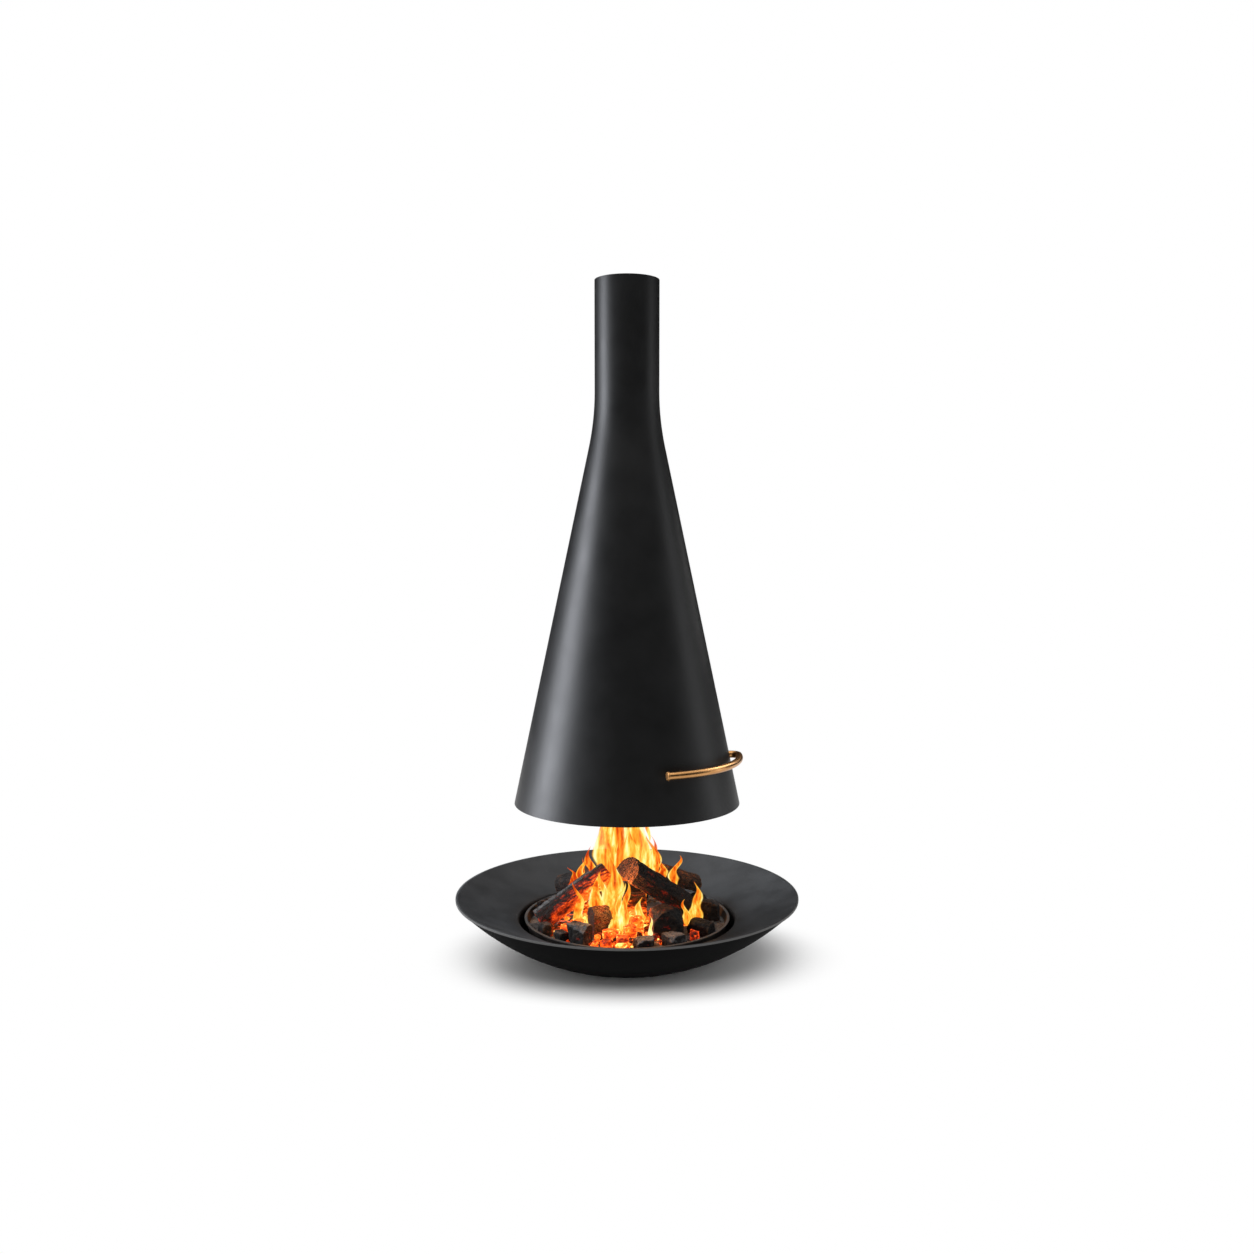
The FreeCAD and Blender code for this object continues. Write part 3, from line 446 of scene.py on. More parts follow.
def flame_light(name, strength):
    """Burning gas: each tongue is deep orange at its edges and pale where it is thick, and thins out."""
    paint = Paint(name)
    along = paint.attribute("rise")
    across = paint.attribute("side")
    heat = paint.attribute("warmth")
    seed = paint.attribute("seed", "Vector")
    spot = paint.add("ShaderNodeVectorMath", (paint.place, seed), operation="ADD")
    streak = paint.noise(1.0, 4.0, 0.6, place=paint.scaled((46.0, 46.0, 7.0), spot))
    fray = paint.noise(1.0, 3.0, 0.6, place=paint.scaled((20.0, 20.0, 9.0), spot))
    edge = across.size()
    thick = 1.0 - edge ** 1.7
    line = edge.rise(0.40, 0.74) * edge.rise(0.95, 0.80)
    tone = heat + (streak - 0.5) * 2.3 + line * 0.26 - along * 0.10 - 0.06
    colour = tone.ramp(
        (0.10, (0.52, 0.040, 0.002)),
        (0.34, (0.95, 0.19, 0.010)),
        (0.55, (1.0, 0.42, 0.035)),
        (0.76, (1.0, 0.70, 0.13)),
        (1.0, (1.0, 0.92, 0.45)),
    )
    tail = along.rise(0.55, 1.0, 0.0, 0.45)
    start = along.rise(0.0, 0.10, 0.6, 0.0)
    cover = (thick + (fray - 0.5) * 1.1 - tail - start).rise(0.05, 0.42)
    return paint.surface(
        Base_Color=BLACK,
        Roughness=1.0,
        Specular_IOR_Level=0.0,
        Alpha=cover * 0.94,
        Emission_Color=colour,
        Emission_Strength=strength,
    )


def pale_floor(name):
    """White floor that keeps shadows near the object and runs out into plain white."""
    paint = Paint(name)
    squeeze = 0.685
    shadow_reach = 0.30
    white_from = 0.54
    matt_dark = (0.93, 0.93, 0.93)
    matt_light = (0.95, 0.95, 0.95)
    across = paint.place.part("X") * squeeze
    deep = paint.place.part("Y")
    reach = (across * across + deep * deep) ** 0.5
    speck = paint.noise(30.0, 2.0)
    white = paint.mix(speck, matt_dark, matt_light)
    matt = paint.add("ShaderNodeBsdfDiffuse", {"Color": white})
    glow = paint.add("ShaderNodeEmission", {"Color": WHITE, "Strength": 1.0})
    run_out = paint.shown() * reach.rise(shadow_reach, white_from)
    return paint.close(paint.add("ShaderNodeMixShader", (run_out, matt, glow)))


def new_object(name, bm, material, body, slot, *nodes, sharp=35.0):
    """Turns a bmesh into a smooth-shaded piece that rides on a body and stands for CAD nodes."""
    bmesh.ops.recalc_face_normals(bm, faces=bm.faces)
    mesh = bpy.data.meshes.new(name)
    bm.to_mesh(mesh)
    bm.free()
    return from_mesh(name, mesh, material, body, slot, *nodes, sharp=sharp)


def from_mesh(name, mesh, material, body, slot, *nodes, sharp=35.0):
    """Links a mesh as a piece of the object."""
    mesh.polygons.foreach_set("use_smooth", [True] * len(mesh.polygons))
    mesh.set_sharp_from_angle(angle=math.radians(sharp))
    mesh.materials.clear()
    mesh.materials.append(material)
    piece = bpy.data.objects.new(name, mesh)
    bpy.context.scene.collection.objects.link(piece)
    if body:
        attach(piece, body)
    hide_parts(*nodes)
    return piece


def store(mesh, name, values, kind="FLOAT"):
    """Keeps one value for each vertex."""
    attribute = mesh.attributes.new(name, kind, "POINT")
    field = "value" if kind == "FLOAT" else "vector"
    attribute.data.foreach_set(field, np.asarray(values, np.float32).ravel())


def points_of(mesh, field="co"):
    """The vertices' positions or normals as an array."""
    values = np.zeros(len(mesh.vertices) * 3, np.float32)
    mesh.vertices.foreach_get(field, values)
    return values.reshape(-1, 3)


def smooth_step(values, low, high):
    """The usual smooth step, also downwards."""
    share = np.clip((values - low) / (high - low), 0, 1)
    return share * share * (3 - 2 * share)


def fine_skin(node, voxel):
    """A copy of a CAD node's mesh with an even, fine skin."""
    holder = bpy.data.objects.new(node + "_skin", frame["nodes"][node].data.copy())
    bpy.context.scene.collection.objects.link(holder)
    remesh = holder.modifiers.new("Skin", "REMESH")
    remesh.mode = "VOXEL"
    remesh.voxel_size = voxel
    held = holder.evaluated_get(bpy.context.evaluated_depsgraph_get())
    mesh = bpy.data.meshes.new_from_object(held)
    bpy.data.objects.remove(holder)
    mesh.name = node + "_mesh"
    return mesh


def roughen(mesh, depth_at):
    """Moves each vertex inwards along its normal by a depth worked out from its place."""
    spots = points_of(mesh)
    normals = points_of(mesh, "normal")
    depths = np.array([depth_at(Vector(spot), Vector(normal)) for spot, normal in zip(spots, normals)])
    mesh.vertices.foreach_set("co", (spots - normals * depths[:, None]).astype(np.float32).ravel())
    mesh.update()


def sharpness(mesh):
    """How much each vertex stands out from its neighbours, from 0 on flat or hollow places to 1 on edges."""
    blurs = 3
    flat = 0.06
    keen = 0.20
    spots = points_of(mesh)
    normals = points_of(mesh, "normal")
    ends = np.zeros(len(mesh.edges) * 2, np.int32)
    mesh.edges.foreach_get("vertices", ends)
    first, second = ends.reshape(-1, 2).T
    runs = spots[second] - spots[first]
    runs /= np.linalg.norm(runs, axis=1)[:, None] + TINY
    bend = np.zeros(len(spots))
    counts = np.zeros(len(spots)) + TINY
    for end, sign in ((first, 1), (second, -1)):
        np.add.at(bend, end, -sign * (runs * normals[end]).sum(axis=1))
        np.add.at(counts, end, 1)
    bend /= counts
    for blur in range(blurs):
        spread = np.zeros(len(spots))
        np.add.at(spread, first, bend[second])
        np.add.at(spread, second, bend[first])
        bend = 0.5 * bend + 0.5 * spread / counts
    return smooth_step(bend, flat, keen)


def rough_noise(place, fading=0.7):
    """Noise in a few octaves, each finer and weaker than the one before."""
    finer = 2.0
    octaves = 4
    return noise.fractal(place, fading, finer, octaves)


def crack_at(place, width):
    """How deep in a crack between blocks a place lies, from 0 to 1."""
    nearest, second = noise.voronoi(place)[0][:2]
    return max(0.0, 1 - (second - nearest) / width)


def near_fire(spots, reach):
    """How close each point is to the fire's core, from 0 to 1."""
    gaps = np.linalg.norm(spots - np.array(FIRE_CORE), axis=1)
    return np.clip(1 + HOT_SHARE - gaps / reach, 0, 1)


def store_fire(mesh, grains, heat, paleness, bareness):
    """Keeps what the burning finish reads: place in the grain, heat (on the coals with painted firelight on
    the sides that face the fire), ash, bare wood and worn edges.
    """
    store(mesh, "grain", grains, "FLOAT_VECTOR")
    store(mesh, "warmth", heat)
    store(mesh, "ash", paleness)
    store(mesh, "bare", bareness)
    store(mesh, "edge", sharpness(mesh))


def dress_log(node, warmth, paleness, bareness, material, seed):
    """A burnt log: furrowed bark, checked char and worn edges over the CAD log's own shape."""
    mesh = fine_skin(node, LOG_VOXEL)
    spots = points_of(mesh)
    middle = spots.mean(axis=0)
    spread = np.linalg.eigh(np.cov((spots - middle).T))[1]
    along = Vector(spread[:, 2])
    up = (AXIS - along * AXIS.dot(along)).normalized()
    side = along.cross(up)
    shift = Vector([step * seed for step in PATTERN_STEP])

    def grain_of(spot):
        """A point's place along, across and up the log."""
        rest = spot - Vector(middle)
        return Vector((rest.dot(along), rest.dot(side), rest.dot(up)))

    def depth_at(spot, normal):
        """Furrows along the fibres, char checks and a broad unevenness."""
        place = grain_of(spot) + shift
        furrow = rough_noise(place * LOG_FURROWS)
        hollow = noise.noise(place * LOG_HOLLOWS)
        check = crack_at(place * LOG_CHECKS, LOG_CHECK_WIDTH)
        cut_end = abs(normal.dot(along)) > END_FACING
        check_depth = END_CHECK_DEPTH if cut_end else CHECK_DEPTH
        return LOG_SKIN + FURROW_DEPTH * furrow + HOLLOW_DEPTH * hollow + check_depth * check

    roughen(mesh, depth_at)
    spots = points_of(mesh)
    normals = points_of(mesh, "normal")
    grains = np.array([grain_of(Vector(spot)) for spot in spots])
    ends = smooth_step(np.abs(normals @ np.array(along)), 0.6, 0.85)
    top = grains[:, 2].max()
    ridge = smooth_step(grains[:, 2], 0.80 * top, 0.96 * top)
    facing_up = smooth_step(normals[:, 2], 0.2, 0.8)
    heat = near_fire(spots, reach=0.30) * (1.0 - 0.55 * facing_up) * warmth
    bare = bareness * (0.25 + 0.75 * ends)
    store_fire(mesh, grains + np.array(shift), heat, paleness * ridge, bare)
    return from_mesh(node + "_charred", mesh, material, "fire_pan", "burning_wood", node, sharp=60.0)


def dress_lumps(node, voxel, depth, heat_and_firelight_of, ash_of, material, slot):
    """Chipped coals: the CAD lumps with worn edges, cracks and a crumbly skin."""
    mesh = fine_skin(node, voxel)

    def depth_at(spot, normal):
        """Chips and cracks."""
        crack = crack_at(spot * LUMP_BLOCKS, LUMP_CRACK_WIDTH)
        chip = rough_noise(spot * LUMP_CHIPS)
        return depth * (0.4 + 0.5 * chip + 0.7 * crack)

    roughen(mesh, depth_at)
    spots = points_of(mesh)
    normals = points_of(mesh, "normal")
    bare = 0.55 * near_fire(spots, reach=0.40)
    store_fire(mesh, spots, heat_and_firelight_of(spots, normals), ash_of(spots, normals), bare)
    return from_mesh(node + "_chipped", mesh, material, "fire_pan", slot, node, sharp=60.0)


def bend_points(start, corner, end, steps):
    """Points of a smooth bend from start to end round a corner, in a section of radius and height."""
    points = []
    for step in range(steps + 1):
        share = step / steps
        first = (1 - share) ** 2
        middle = 2 * share * (1 - share)
        last = share ** 2
        radius, height = (first * a + middle * b + last * c for a, b, c in zip(start, corner, end))
        points.append((radius, height))
    return points


def lathe(profile, segments, closed=True):
    """A section of radii and heights, closed or from axis to axis, spun into a full turn."""
    bm = bmesh.new()
    corners = [bm.verts.new((radius, 0, height)) for radius, height in profile]
    sides = [bm.edges.new(pair) for pair in zip(corners, corners[1:])]
    if closed:
        sides.append(bm.edges.new((corners[-1], corners[0])))
    bmesh.ops.spin(
        bm, geom=corners + sides, cent=(0, 0, 0), axis=AXIS, angle=TURN, steps=segments, use_merge=True
    )
    bmesh.ops.remove_doubles(bm, verts=bm.verts, dist=WELD)
    return bm


def add_lump(bm, place, size, dice):
    """A small crumb with uneven corners."""
    spin = Matrix.Rotation(dice.uniform(0, TURN), 4, AXIS) @ Matrix.Rotation(dice.uniform(0, TURN), 4, "X")
    stretch = Matrix.Diagonal([dice.uniform(*span) for span in CRUMB_STRETCH]).to_4x4()
    made = bmesh.ops.create_icosphere(
        bm, subdivisions=1, radius=size, matrix=Matrix.Translation(place) @ spin @ stretch
    )
    for vertex in made["verts"]:
        vertex.co += noise.noise_vector(vertex.co * CRUMB_CORNERS) * size * CRUMB_DENT
    return made["verts"]


def disc(bm, radius, segments, place):
    """A flat round face, as its vertices and its rim's edges."""
    made = bmesh.ops.create_circle(bm, cap_ends=True, segments=segments, radius=radius, matrix=place)
    rim = dict.fromkeys(edge for vertex in made["verts"] for edge in vertex.link_edges)
    return made["verts"], list(rim)


def draw_out(bm, rim, centre, angle, steps, lift=(0, 0, 0)):
    """Sweeps a rim about an upright line, lifts it at each step, and gives the last rim."""
    ends = dict.fromkeys(vertex for edge in rim for vertex in edge.verts)
    made = bmesh.ops.spin(
        bm, geom=[*ends, *rim], cent=centre, axis=AXIS, dvec=lift, angle=angle, steps=steps
    )
    return [part for part in made["geom_last"] if isinstance(part, bmesh.types.BMEdge)]


def twisted_rope(bm, foot, length, radius, lay, lobes=6):
    """A stranded cable that stands on its foot: a lobed disc, drawn up as it turns."""
    corners, rim = disc(bm, radius, lobes * ROPE_SIDES, Matrix.Translation(foot))
    for corner in corners:
        arm = corner.co - foot
        strand = math.cos(lobes * math.atan2(arm.y, arm.x))
        corner.co = foot + arm * (1 - ROPE_GROOVE + ROPE_GROOVE * strand)
    steps = max(ROPE_LEAST_STEPS, int(length / lay * ROPE_STEPS))
    rim = draw_out(bm, rim, foot, TURN * length / lay, steps, (0, 0, length / steps))
    bmesh.ops.edgeloop_fill(bm, edges=rim)


def flame_width(share):
    """A tongue's width at a share of its height: it swells to its belly and runs out to a point."""
    if share < TONGUE_BELLY:
        return TONGUE_FOOT + TONGUE_GROWTH * share
    widest = TONGUE_FOOT + TONGUE_GROWTH * TONGUE_BELLY
    return widest * (1 - (share - TONGUE_BELLY) / (1 - TONGUE_BELLY)) ** TONGUE_TAPER


def tongue(bm, layers, root, tip, width, sway, phase, turn, heat):
    """One flame tongue: a cupped sheet that swells above its root, waves and runs out to a point."""
    rise, side, warm, seed = layers
    across = Vector((math.cos(turn), math.sin(turn), 0))
    outwards = Vector((-math.sin(turn), math.cos(turn), 0))
    sheet = bmesh.ops.create_grid(bm, x_segments=TONGUE_ACROSS, y_segments=TONGUE_UP, size=1.0)
    for vertex in sheet["verts"]:
        spread = vertex.co.x
        share = min(1.0, max(0.0, (vertex.co.y + 1) / 2))
        swing = sway * share * math.sin(TURN * (TONGUE_SWAYS * share + phase))
        pinch = 1 + TONGUE_PINCH * math.sin(TURN * (TONGUE_PINCHES * share + phase * 1.7))
        half = 0.5 * width * flame_width(share) * pinch + TONGUE_TIP
        curl = TONGUE_CUP * half * (1 - spread * spread) * math.cos(TURN * (share * TONGUE_CUPS + phase))
        middle = root.lerp(tip, share) + across * swing + outwards * swing * 0.5
        vertex.co = middle + across * half * spread + outwards * curl
        vertex[rise] = share
        vertex[side] = spread
        vertex[warm] = heat
        vertex[seed] = Vector((phase * 13.1, phase * 7.7, phase * 3.3))


def length(name, description, default):
    """A size in metres that a user may change."""
    return FloatProperty(
        name=name,
        description=description,
        default=default,
        min=0.0,
        soft_max=3.0,
        precision=4,
        unit="LENGTH",
    )


def colour(name, description, default):
    """A colour that a user may change."""
    return FloatVectorProperty(
        name=name,
        description=description,
        default=default,
        size=3,
        min=0.0,
        max=1.0,
        precision=4,
        subtype="COLOR",
    )


def direction(name, description, degrees):
    """A place round the upright axis that a user may change."""
    return FloatProperty(name=name, description=description, default=math.radians(degrees), subtype="ANGLE")


def brightness(name, description, default):
    """A strength of glow that a user may change."""
    return FloatProperty(name=name, description=description, default=default, min=0.0)


def count(name, description, default, most):
    """A number of like things that a user may change."""
    return IntProperty(name=name, description=description, default=default, min=0, max=most)


class HoodSettings(bpy.types.PropertyGroup):
    """Sizes and colours of the hood and the bowl."""

    wall: length("Wall", "Thickness of the hood's sheet", 0.002)
    bend_foot: length("Bend foot", "Height at which the flare starts to bend into the neck", 1.757)
    bend_top: length("Bend top", "Height at which the bend ends in the straight neck", 1.950)
    segments: count("Segments", "Flat steps in the hood's full turn", 256, 512)
    coat_dark: colour("Coat, dark", "Darker tone of the hood's coating", (0.0018, 0.0019, 0.0022))
    coat_light: colour("Coat, light", "Lighter tone of the hood's coating", (0.0036, 0.0038, 0.0042))
    dish_dark: colour("Bowl, dark", "Darker tone of the bowl's outer coating", (0.0018, 0.0018, 0.0019))
    dish_light: colour("Bowl, light", "Lighter tone of the bowl's outer coating", (0.0032, 0.0032, 0.0033))
    hearth_dark: colour("Hearth, dark", "Darker tone of the bowl's inside", (0.0195, 0.0200, 0.0208))
    hearth_light: colour("Hearth, light", "Lighter tone of the bowl's inside", (0.0305, 0.0310, 0.0322))


class RailSettings(bpy.types.PropertyGroup):
    """Sizes and colours of the grab rail and the cables."""

    radius: length("Rod radius", "Radius of the rail's round rod", 0.0125)
    bend: length("Bend radius", "Radius of the bend where the rail leaves its foot", 0.024)
    gap: length("Gap", "Room for the fingers between rod and hood", 0.020)
    foot_angle: direction("Foot", "Where round the hood the rail starts", 5)
    end_angle: direction("End", "Where round the hood the rail ends", -70)
    bright: colour("Brass, bright", "The rail's clean brass", (0.57, 0.295, 0.112))
    worn: colour("Brass, worn", "The rail's brass where hands have dulled it", (0.49, 0.24, 0.086))
    lay: length("Cable lay", "Length in which a cable's strand makes one turn", 0.030)


class FireSettings(bpy.types.PropertyGroup):
    """Colours and numbers of the fire."""

    crumbs: count("Ash crumbs", "Crumbs strewn over the ash", 420, 2000)
    bits: count("Ember bits", "Small glowing bits between the embers", 260, 2000)
    seed: count("Seed", "Start of the random draws for crumbs and bits", 11, 9999)
    glow: brightness("Ember glow", "How brightly coals and logs glow", 1.3)
    flame: brightness("Flame light", "How brightly the flames shine", 1.25)
    wood: colour("Bare wood", "Wood of the logs where the char is gone", (0.225, 0.086, 0.024))
    char: colour("Char", "Lighter tone of the logs' char", (0.030, 0.020, 0.016))
    coal: colour("Charcoal", "Lighter tone of the charcoal", (0.022, 0.020, 0.019))


class FireplaceSettings(bpy.types.PropertyGroup):
    """What a user may change before making the pieces."""

    hood: PointerProperty(name="Hood and bowl", description="The hood and the bowl", type=HoodSettings)
    rail: PointerProperty(name="Rail", description="The rail and the cables", type=RailSettings)
    fire: PointerProperty(name="Fire", description="Logs, coals and flames", type=FireSettings)


class Piece:
    """What the operators share."""

    bl_options = {"REGISTER", "UNDO"}

    @staticmethod
    def settings(context):
        """The scene's settings."""
        return context.scene.fireplace


def paint_nodes(material, *nodes):
    """Gives CAD nodes that stay a new finish."""
    for node in nodes:
        mesh = frame["nodes"][node].data
        mesh.materials.clear()
        mesh.materials.append(material)


class FIREPLACE_OT_hood(Piece, bpy.types.Operator):
    """Makes the hood's smooth flared shell"""

    bl_idname = "fireplace.hood"
    bl_label = "Hood"

    BEND_STEPS = 24

    def execute(self, context):
        """Spins the shell's section, the neck and the flare joined by a long bend."""
        hood = self.settings(context).hood
        low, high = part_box("hood_shell")
        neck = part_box("neck_guide")[1].x + hood.wall
        corner = (hood.bend_foot + hood.bend_top) / 2
        flare = (high.x - neck) / (corner - low.z)

        def line(inset):
            """One skin's section from the rim to the top, its neck and flare lines meeting at the corner."""
            bare = neck - inset
            start = (bare + flare * (corner - hood.bend_foot), hood.bend_foot)
            bend = bend_points(start, (bare, corner), (bare, hood.bend_top), self.BEND_STEPS)
            return [(high.x - inset, low.z), *bend, (bare, high.z)]

        bm = lathe(line(0) + line(hood.wall)[::-1], hood.segments)
        coat = powder_coat("hood_black", hood.coat_dark, hood.coat_light, roughness=0.44, gloss=0.42)
        new_object("hood_skin", bm, coat, "hood", "hood_black", "hood_shell")
        paint_nodes(coat, "rim_ring", "handle_screws")
        return {"FINISHED"}


class FIREPLACE_OT_hearth(Piece, bpy.types.Operator):
    """Coats the bowl, its stand and the fire pan"""

    bl_idname = "fireplace.hearth"
    bl_label = "Hearth"

    def execute(self, context):
        """Gives the CAD bowl and pan their finishes."""
        hood = self.settings(context).hood
        outside = powder_coat("dish_black", hood.dish_dark, hood.dish_light, roughness=0.52, gloss=0.006)
        paint_nodes(outside, "outer_dish")
        paint_nodes(hearth_coat("hearth_grey", hood.hearth_dark, hood.hearth_light), "inner_dish")
        paint_nodes(cast_pan("cast_pan"), "fire_pan", "pan_stand")
        return {"FINISHED"}


class FIREPLACE_OT_metalwork(Piece, bpy.types.Operator):
    """Finishes the grab rail, the flue and the counterbalance"""

    bl_idname = "fireplace.metalwork"
    bl_label = "Metalwork"

    # How far the rod's foot reaches into the hood's wall, in metres, and the rod's facets
    SEAT = 0.0005
    ROD_SIDES = 48
    ELBOW_STEPS = 12
    ARC_STEPS = 60

    # Pieces that aren't bare steel
    RAIL_NODES = ("handle_bar", "handle_cap", "handle_post", "handle_screws")
    HOOD_NODES = ("hood_shell", "rim_ring", "neck_seal")
    HEARTH_NODES = ("outer_dish", "inner_dish", "pan_stand")

    def execute(self, context):
        """Gives the CAD flue and counterbalance their finishes and draws the rail as one smooth rod."""
        rail = self.settings(context).rail
        polished = brass("rail_brass", rail.bright, rail.worn, roughness=0.28)
        paint_nodes(polished, "handle_post")
        paint_nodes(brass("cap_brass", rail.bright, rail.worn, roughness=0.48), "handle_cap")
        self.draw_rail(rail, polished)
        fire_nodes = frame["record"]["behaviour"]["bodies"]["fire_pan"]
        finished = (*self.RAIL_NODES, *self.HOOD_NODES, *self.HEARTH_NODES, *fire_nodes)
        paint_nodes(bare_steel("bare_steel"), *(name for name in frame["nodes"] if name not in finished))
        paint_nodes(rope_seal("rope_seal"), "neck_seal")
        return {"FINISHED"}

    def draw_rail(self, rail, material):
        """A round rod from the hood's wall out to a bend and then round the hood on the level."""
        low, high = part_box("handle_bar")
        height = (low.z + high.z) / 2
        reach = high.x - rail.radius
        wall = reach - rail.radius - rail.gap
        lean = math.asin(rail.bend / (reach - rail.bend))
        elbow = Vector(((reach - rail.bend) * math.cos(lean), -rail.bend, height))
        bm = bmesh.new()
        start = Matrix.Translation((wall, 0, height)) @ Matrix.Rotation(QUARTER, 4, "Y")
        foot, rim = disc(bm, rail.radius, self.ROD_SIDES, start)
        rim = draw_out(bm, rim, elbow, 0.0, 1, (elbow.x - wall, 0, 0))
        rim = draw_out(bm, rim, elbow, -QUARTER - lean, self.ELBOW_STEPS)
        sweep = rail.end_angle - rail.foot_angle + lean
        rim = draw_out(bm, rim, AXIS * height, sweep, self.ARC_STEPS)
        bmesh.ops.edgeloop_fill(bm, edges=rim)
        rim_low, rim_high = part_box("hood_shell")
        flare = (rim_high.x - wall) / (height - rim_low.z)
        for vertex in foot:
            hood_radius = wall - flare * (vertex.co.z - height)
            vertex.co.x = math.sqrt(hood_radius ** 2 - vertex.co.y ** 2) - self.SEAT
        swing = Matrix.Rotation(rail.foot_angle, 3, AXIS)
        bmesh.ops.rotate(bm, verts=bm.verts, cent=(0, 0, 0), matrix=swing)
        new_object("rail_rod", bm, material, "hood", "rail_brass", "handle_bar", sharp=50.0)


class FIREPLACE_OT_cables(Piece, bpy.types.Operator):
    """Lays up the stranded lifting cables"""

    bl_idname = "fireplace.cables"
    bl_label = "Cables"

    # How many cables there are, evenly spaced, and where round the flue the first is, in degrees
    CABLES = 3
    FIRST_ANGLE = 90

    def execute(self, context):
        """Makes the hood's and the counterweight's cables as stranded ropes along the CAD cables."""
        lay = self.settings(context).rail.lay
        steel = bare_steel("cable_steel")
        for node, body in (("lift_cables", "hood"), ("weight_cables", "counterweight")):
            low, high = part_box(node)
            spots = points_of(frame["nodes"][node].data)
            angles = np.degrees(np.arctan2(spots[:, 1], spots[:, 0])) - self.FIRST_ANGLE
            turns = np.round(angles * self.CABLES / 360).astype(int) % self.CABLES
            bm = bmesh.new()
            for turn in range(self.CABLES):
                own = spots[turns == turn]
                centre = (own.min(axis=0) + own.max(axis=0)) / 2
                radius = float(own[:, 0].max() - own[:, 0].min()) / 2
                foot = Vector((centre[0], centre[1], low.z))
                twisted_rope(bm, foot, high.z - low.z, radius, lay)
            piece = new_object(node + "_strands", bm, steel, None, "bare_steel", node)
            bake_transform(piece)
        return {"FINISHED"}


class FIREPLACE_OT_logs(Piece, bpy.types.Operator):
    """Chars the split logs"""

    bl_idname = "fireplace.logs"
    bl_label = "Logs"

    # Heat, pale ash and bare wood
    LOGS = {
        "log_1": (1.0, 0.62, 0.05),
        "log_2": (0.45, 0.10, 0.85),
        "log_3": (0.70, 0.35, 1.3),
        "log_4": (0.60, 0.2, 1.6),
        "log_5": (1.05, 0.2, 0.1),
    }

    def execute(self, context):
        """Dresses each CAD log with char, ash and glow."""
        fire = self.settings(context).fire
        wood = burning("burning_wood", fire.char, fire.wood, fire.glow)
        for seed, (node, looks) in enumerate(self.LOGS.items(), 1):
            dress_log(node, *looks, wood, seed)
        return {"FINISHED"}


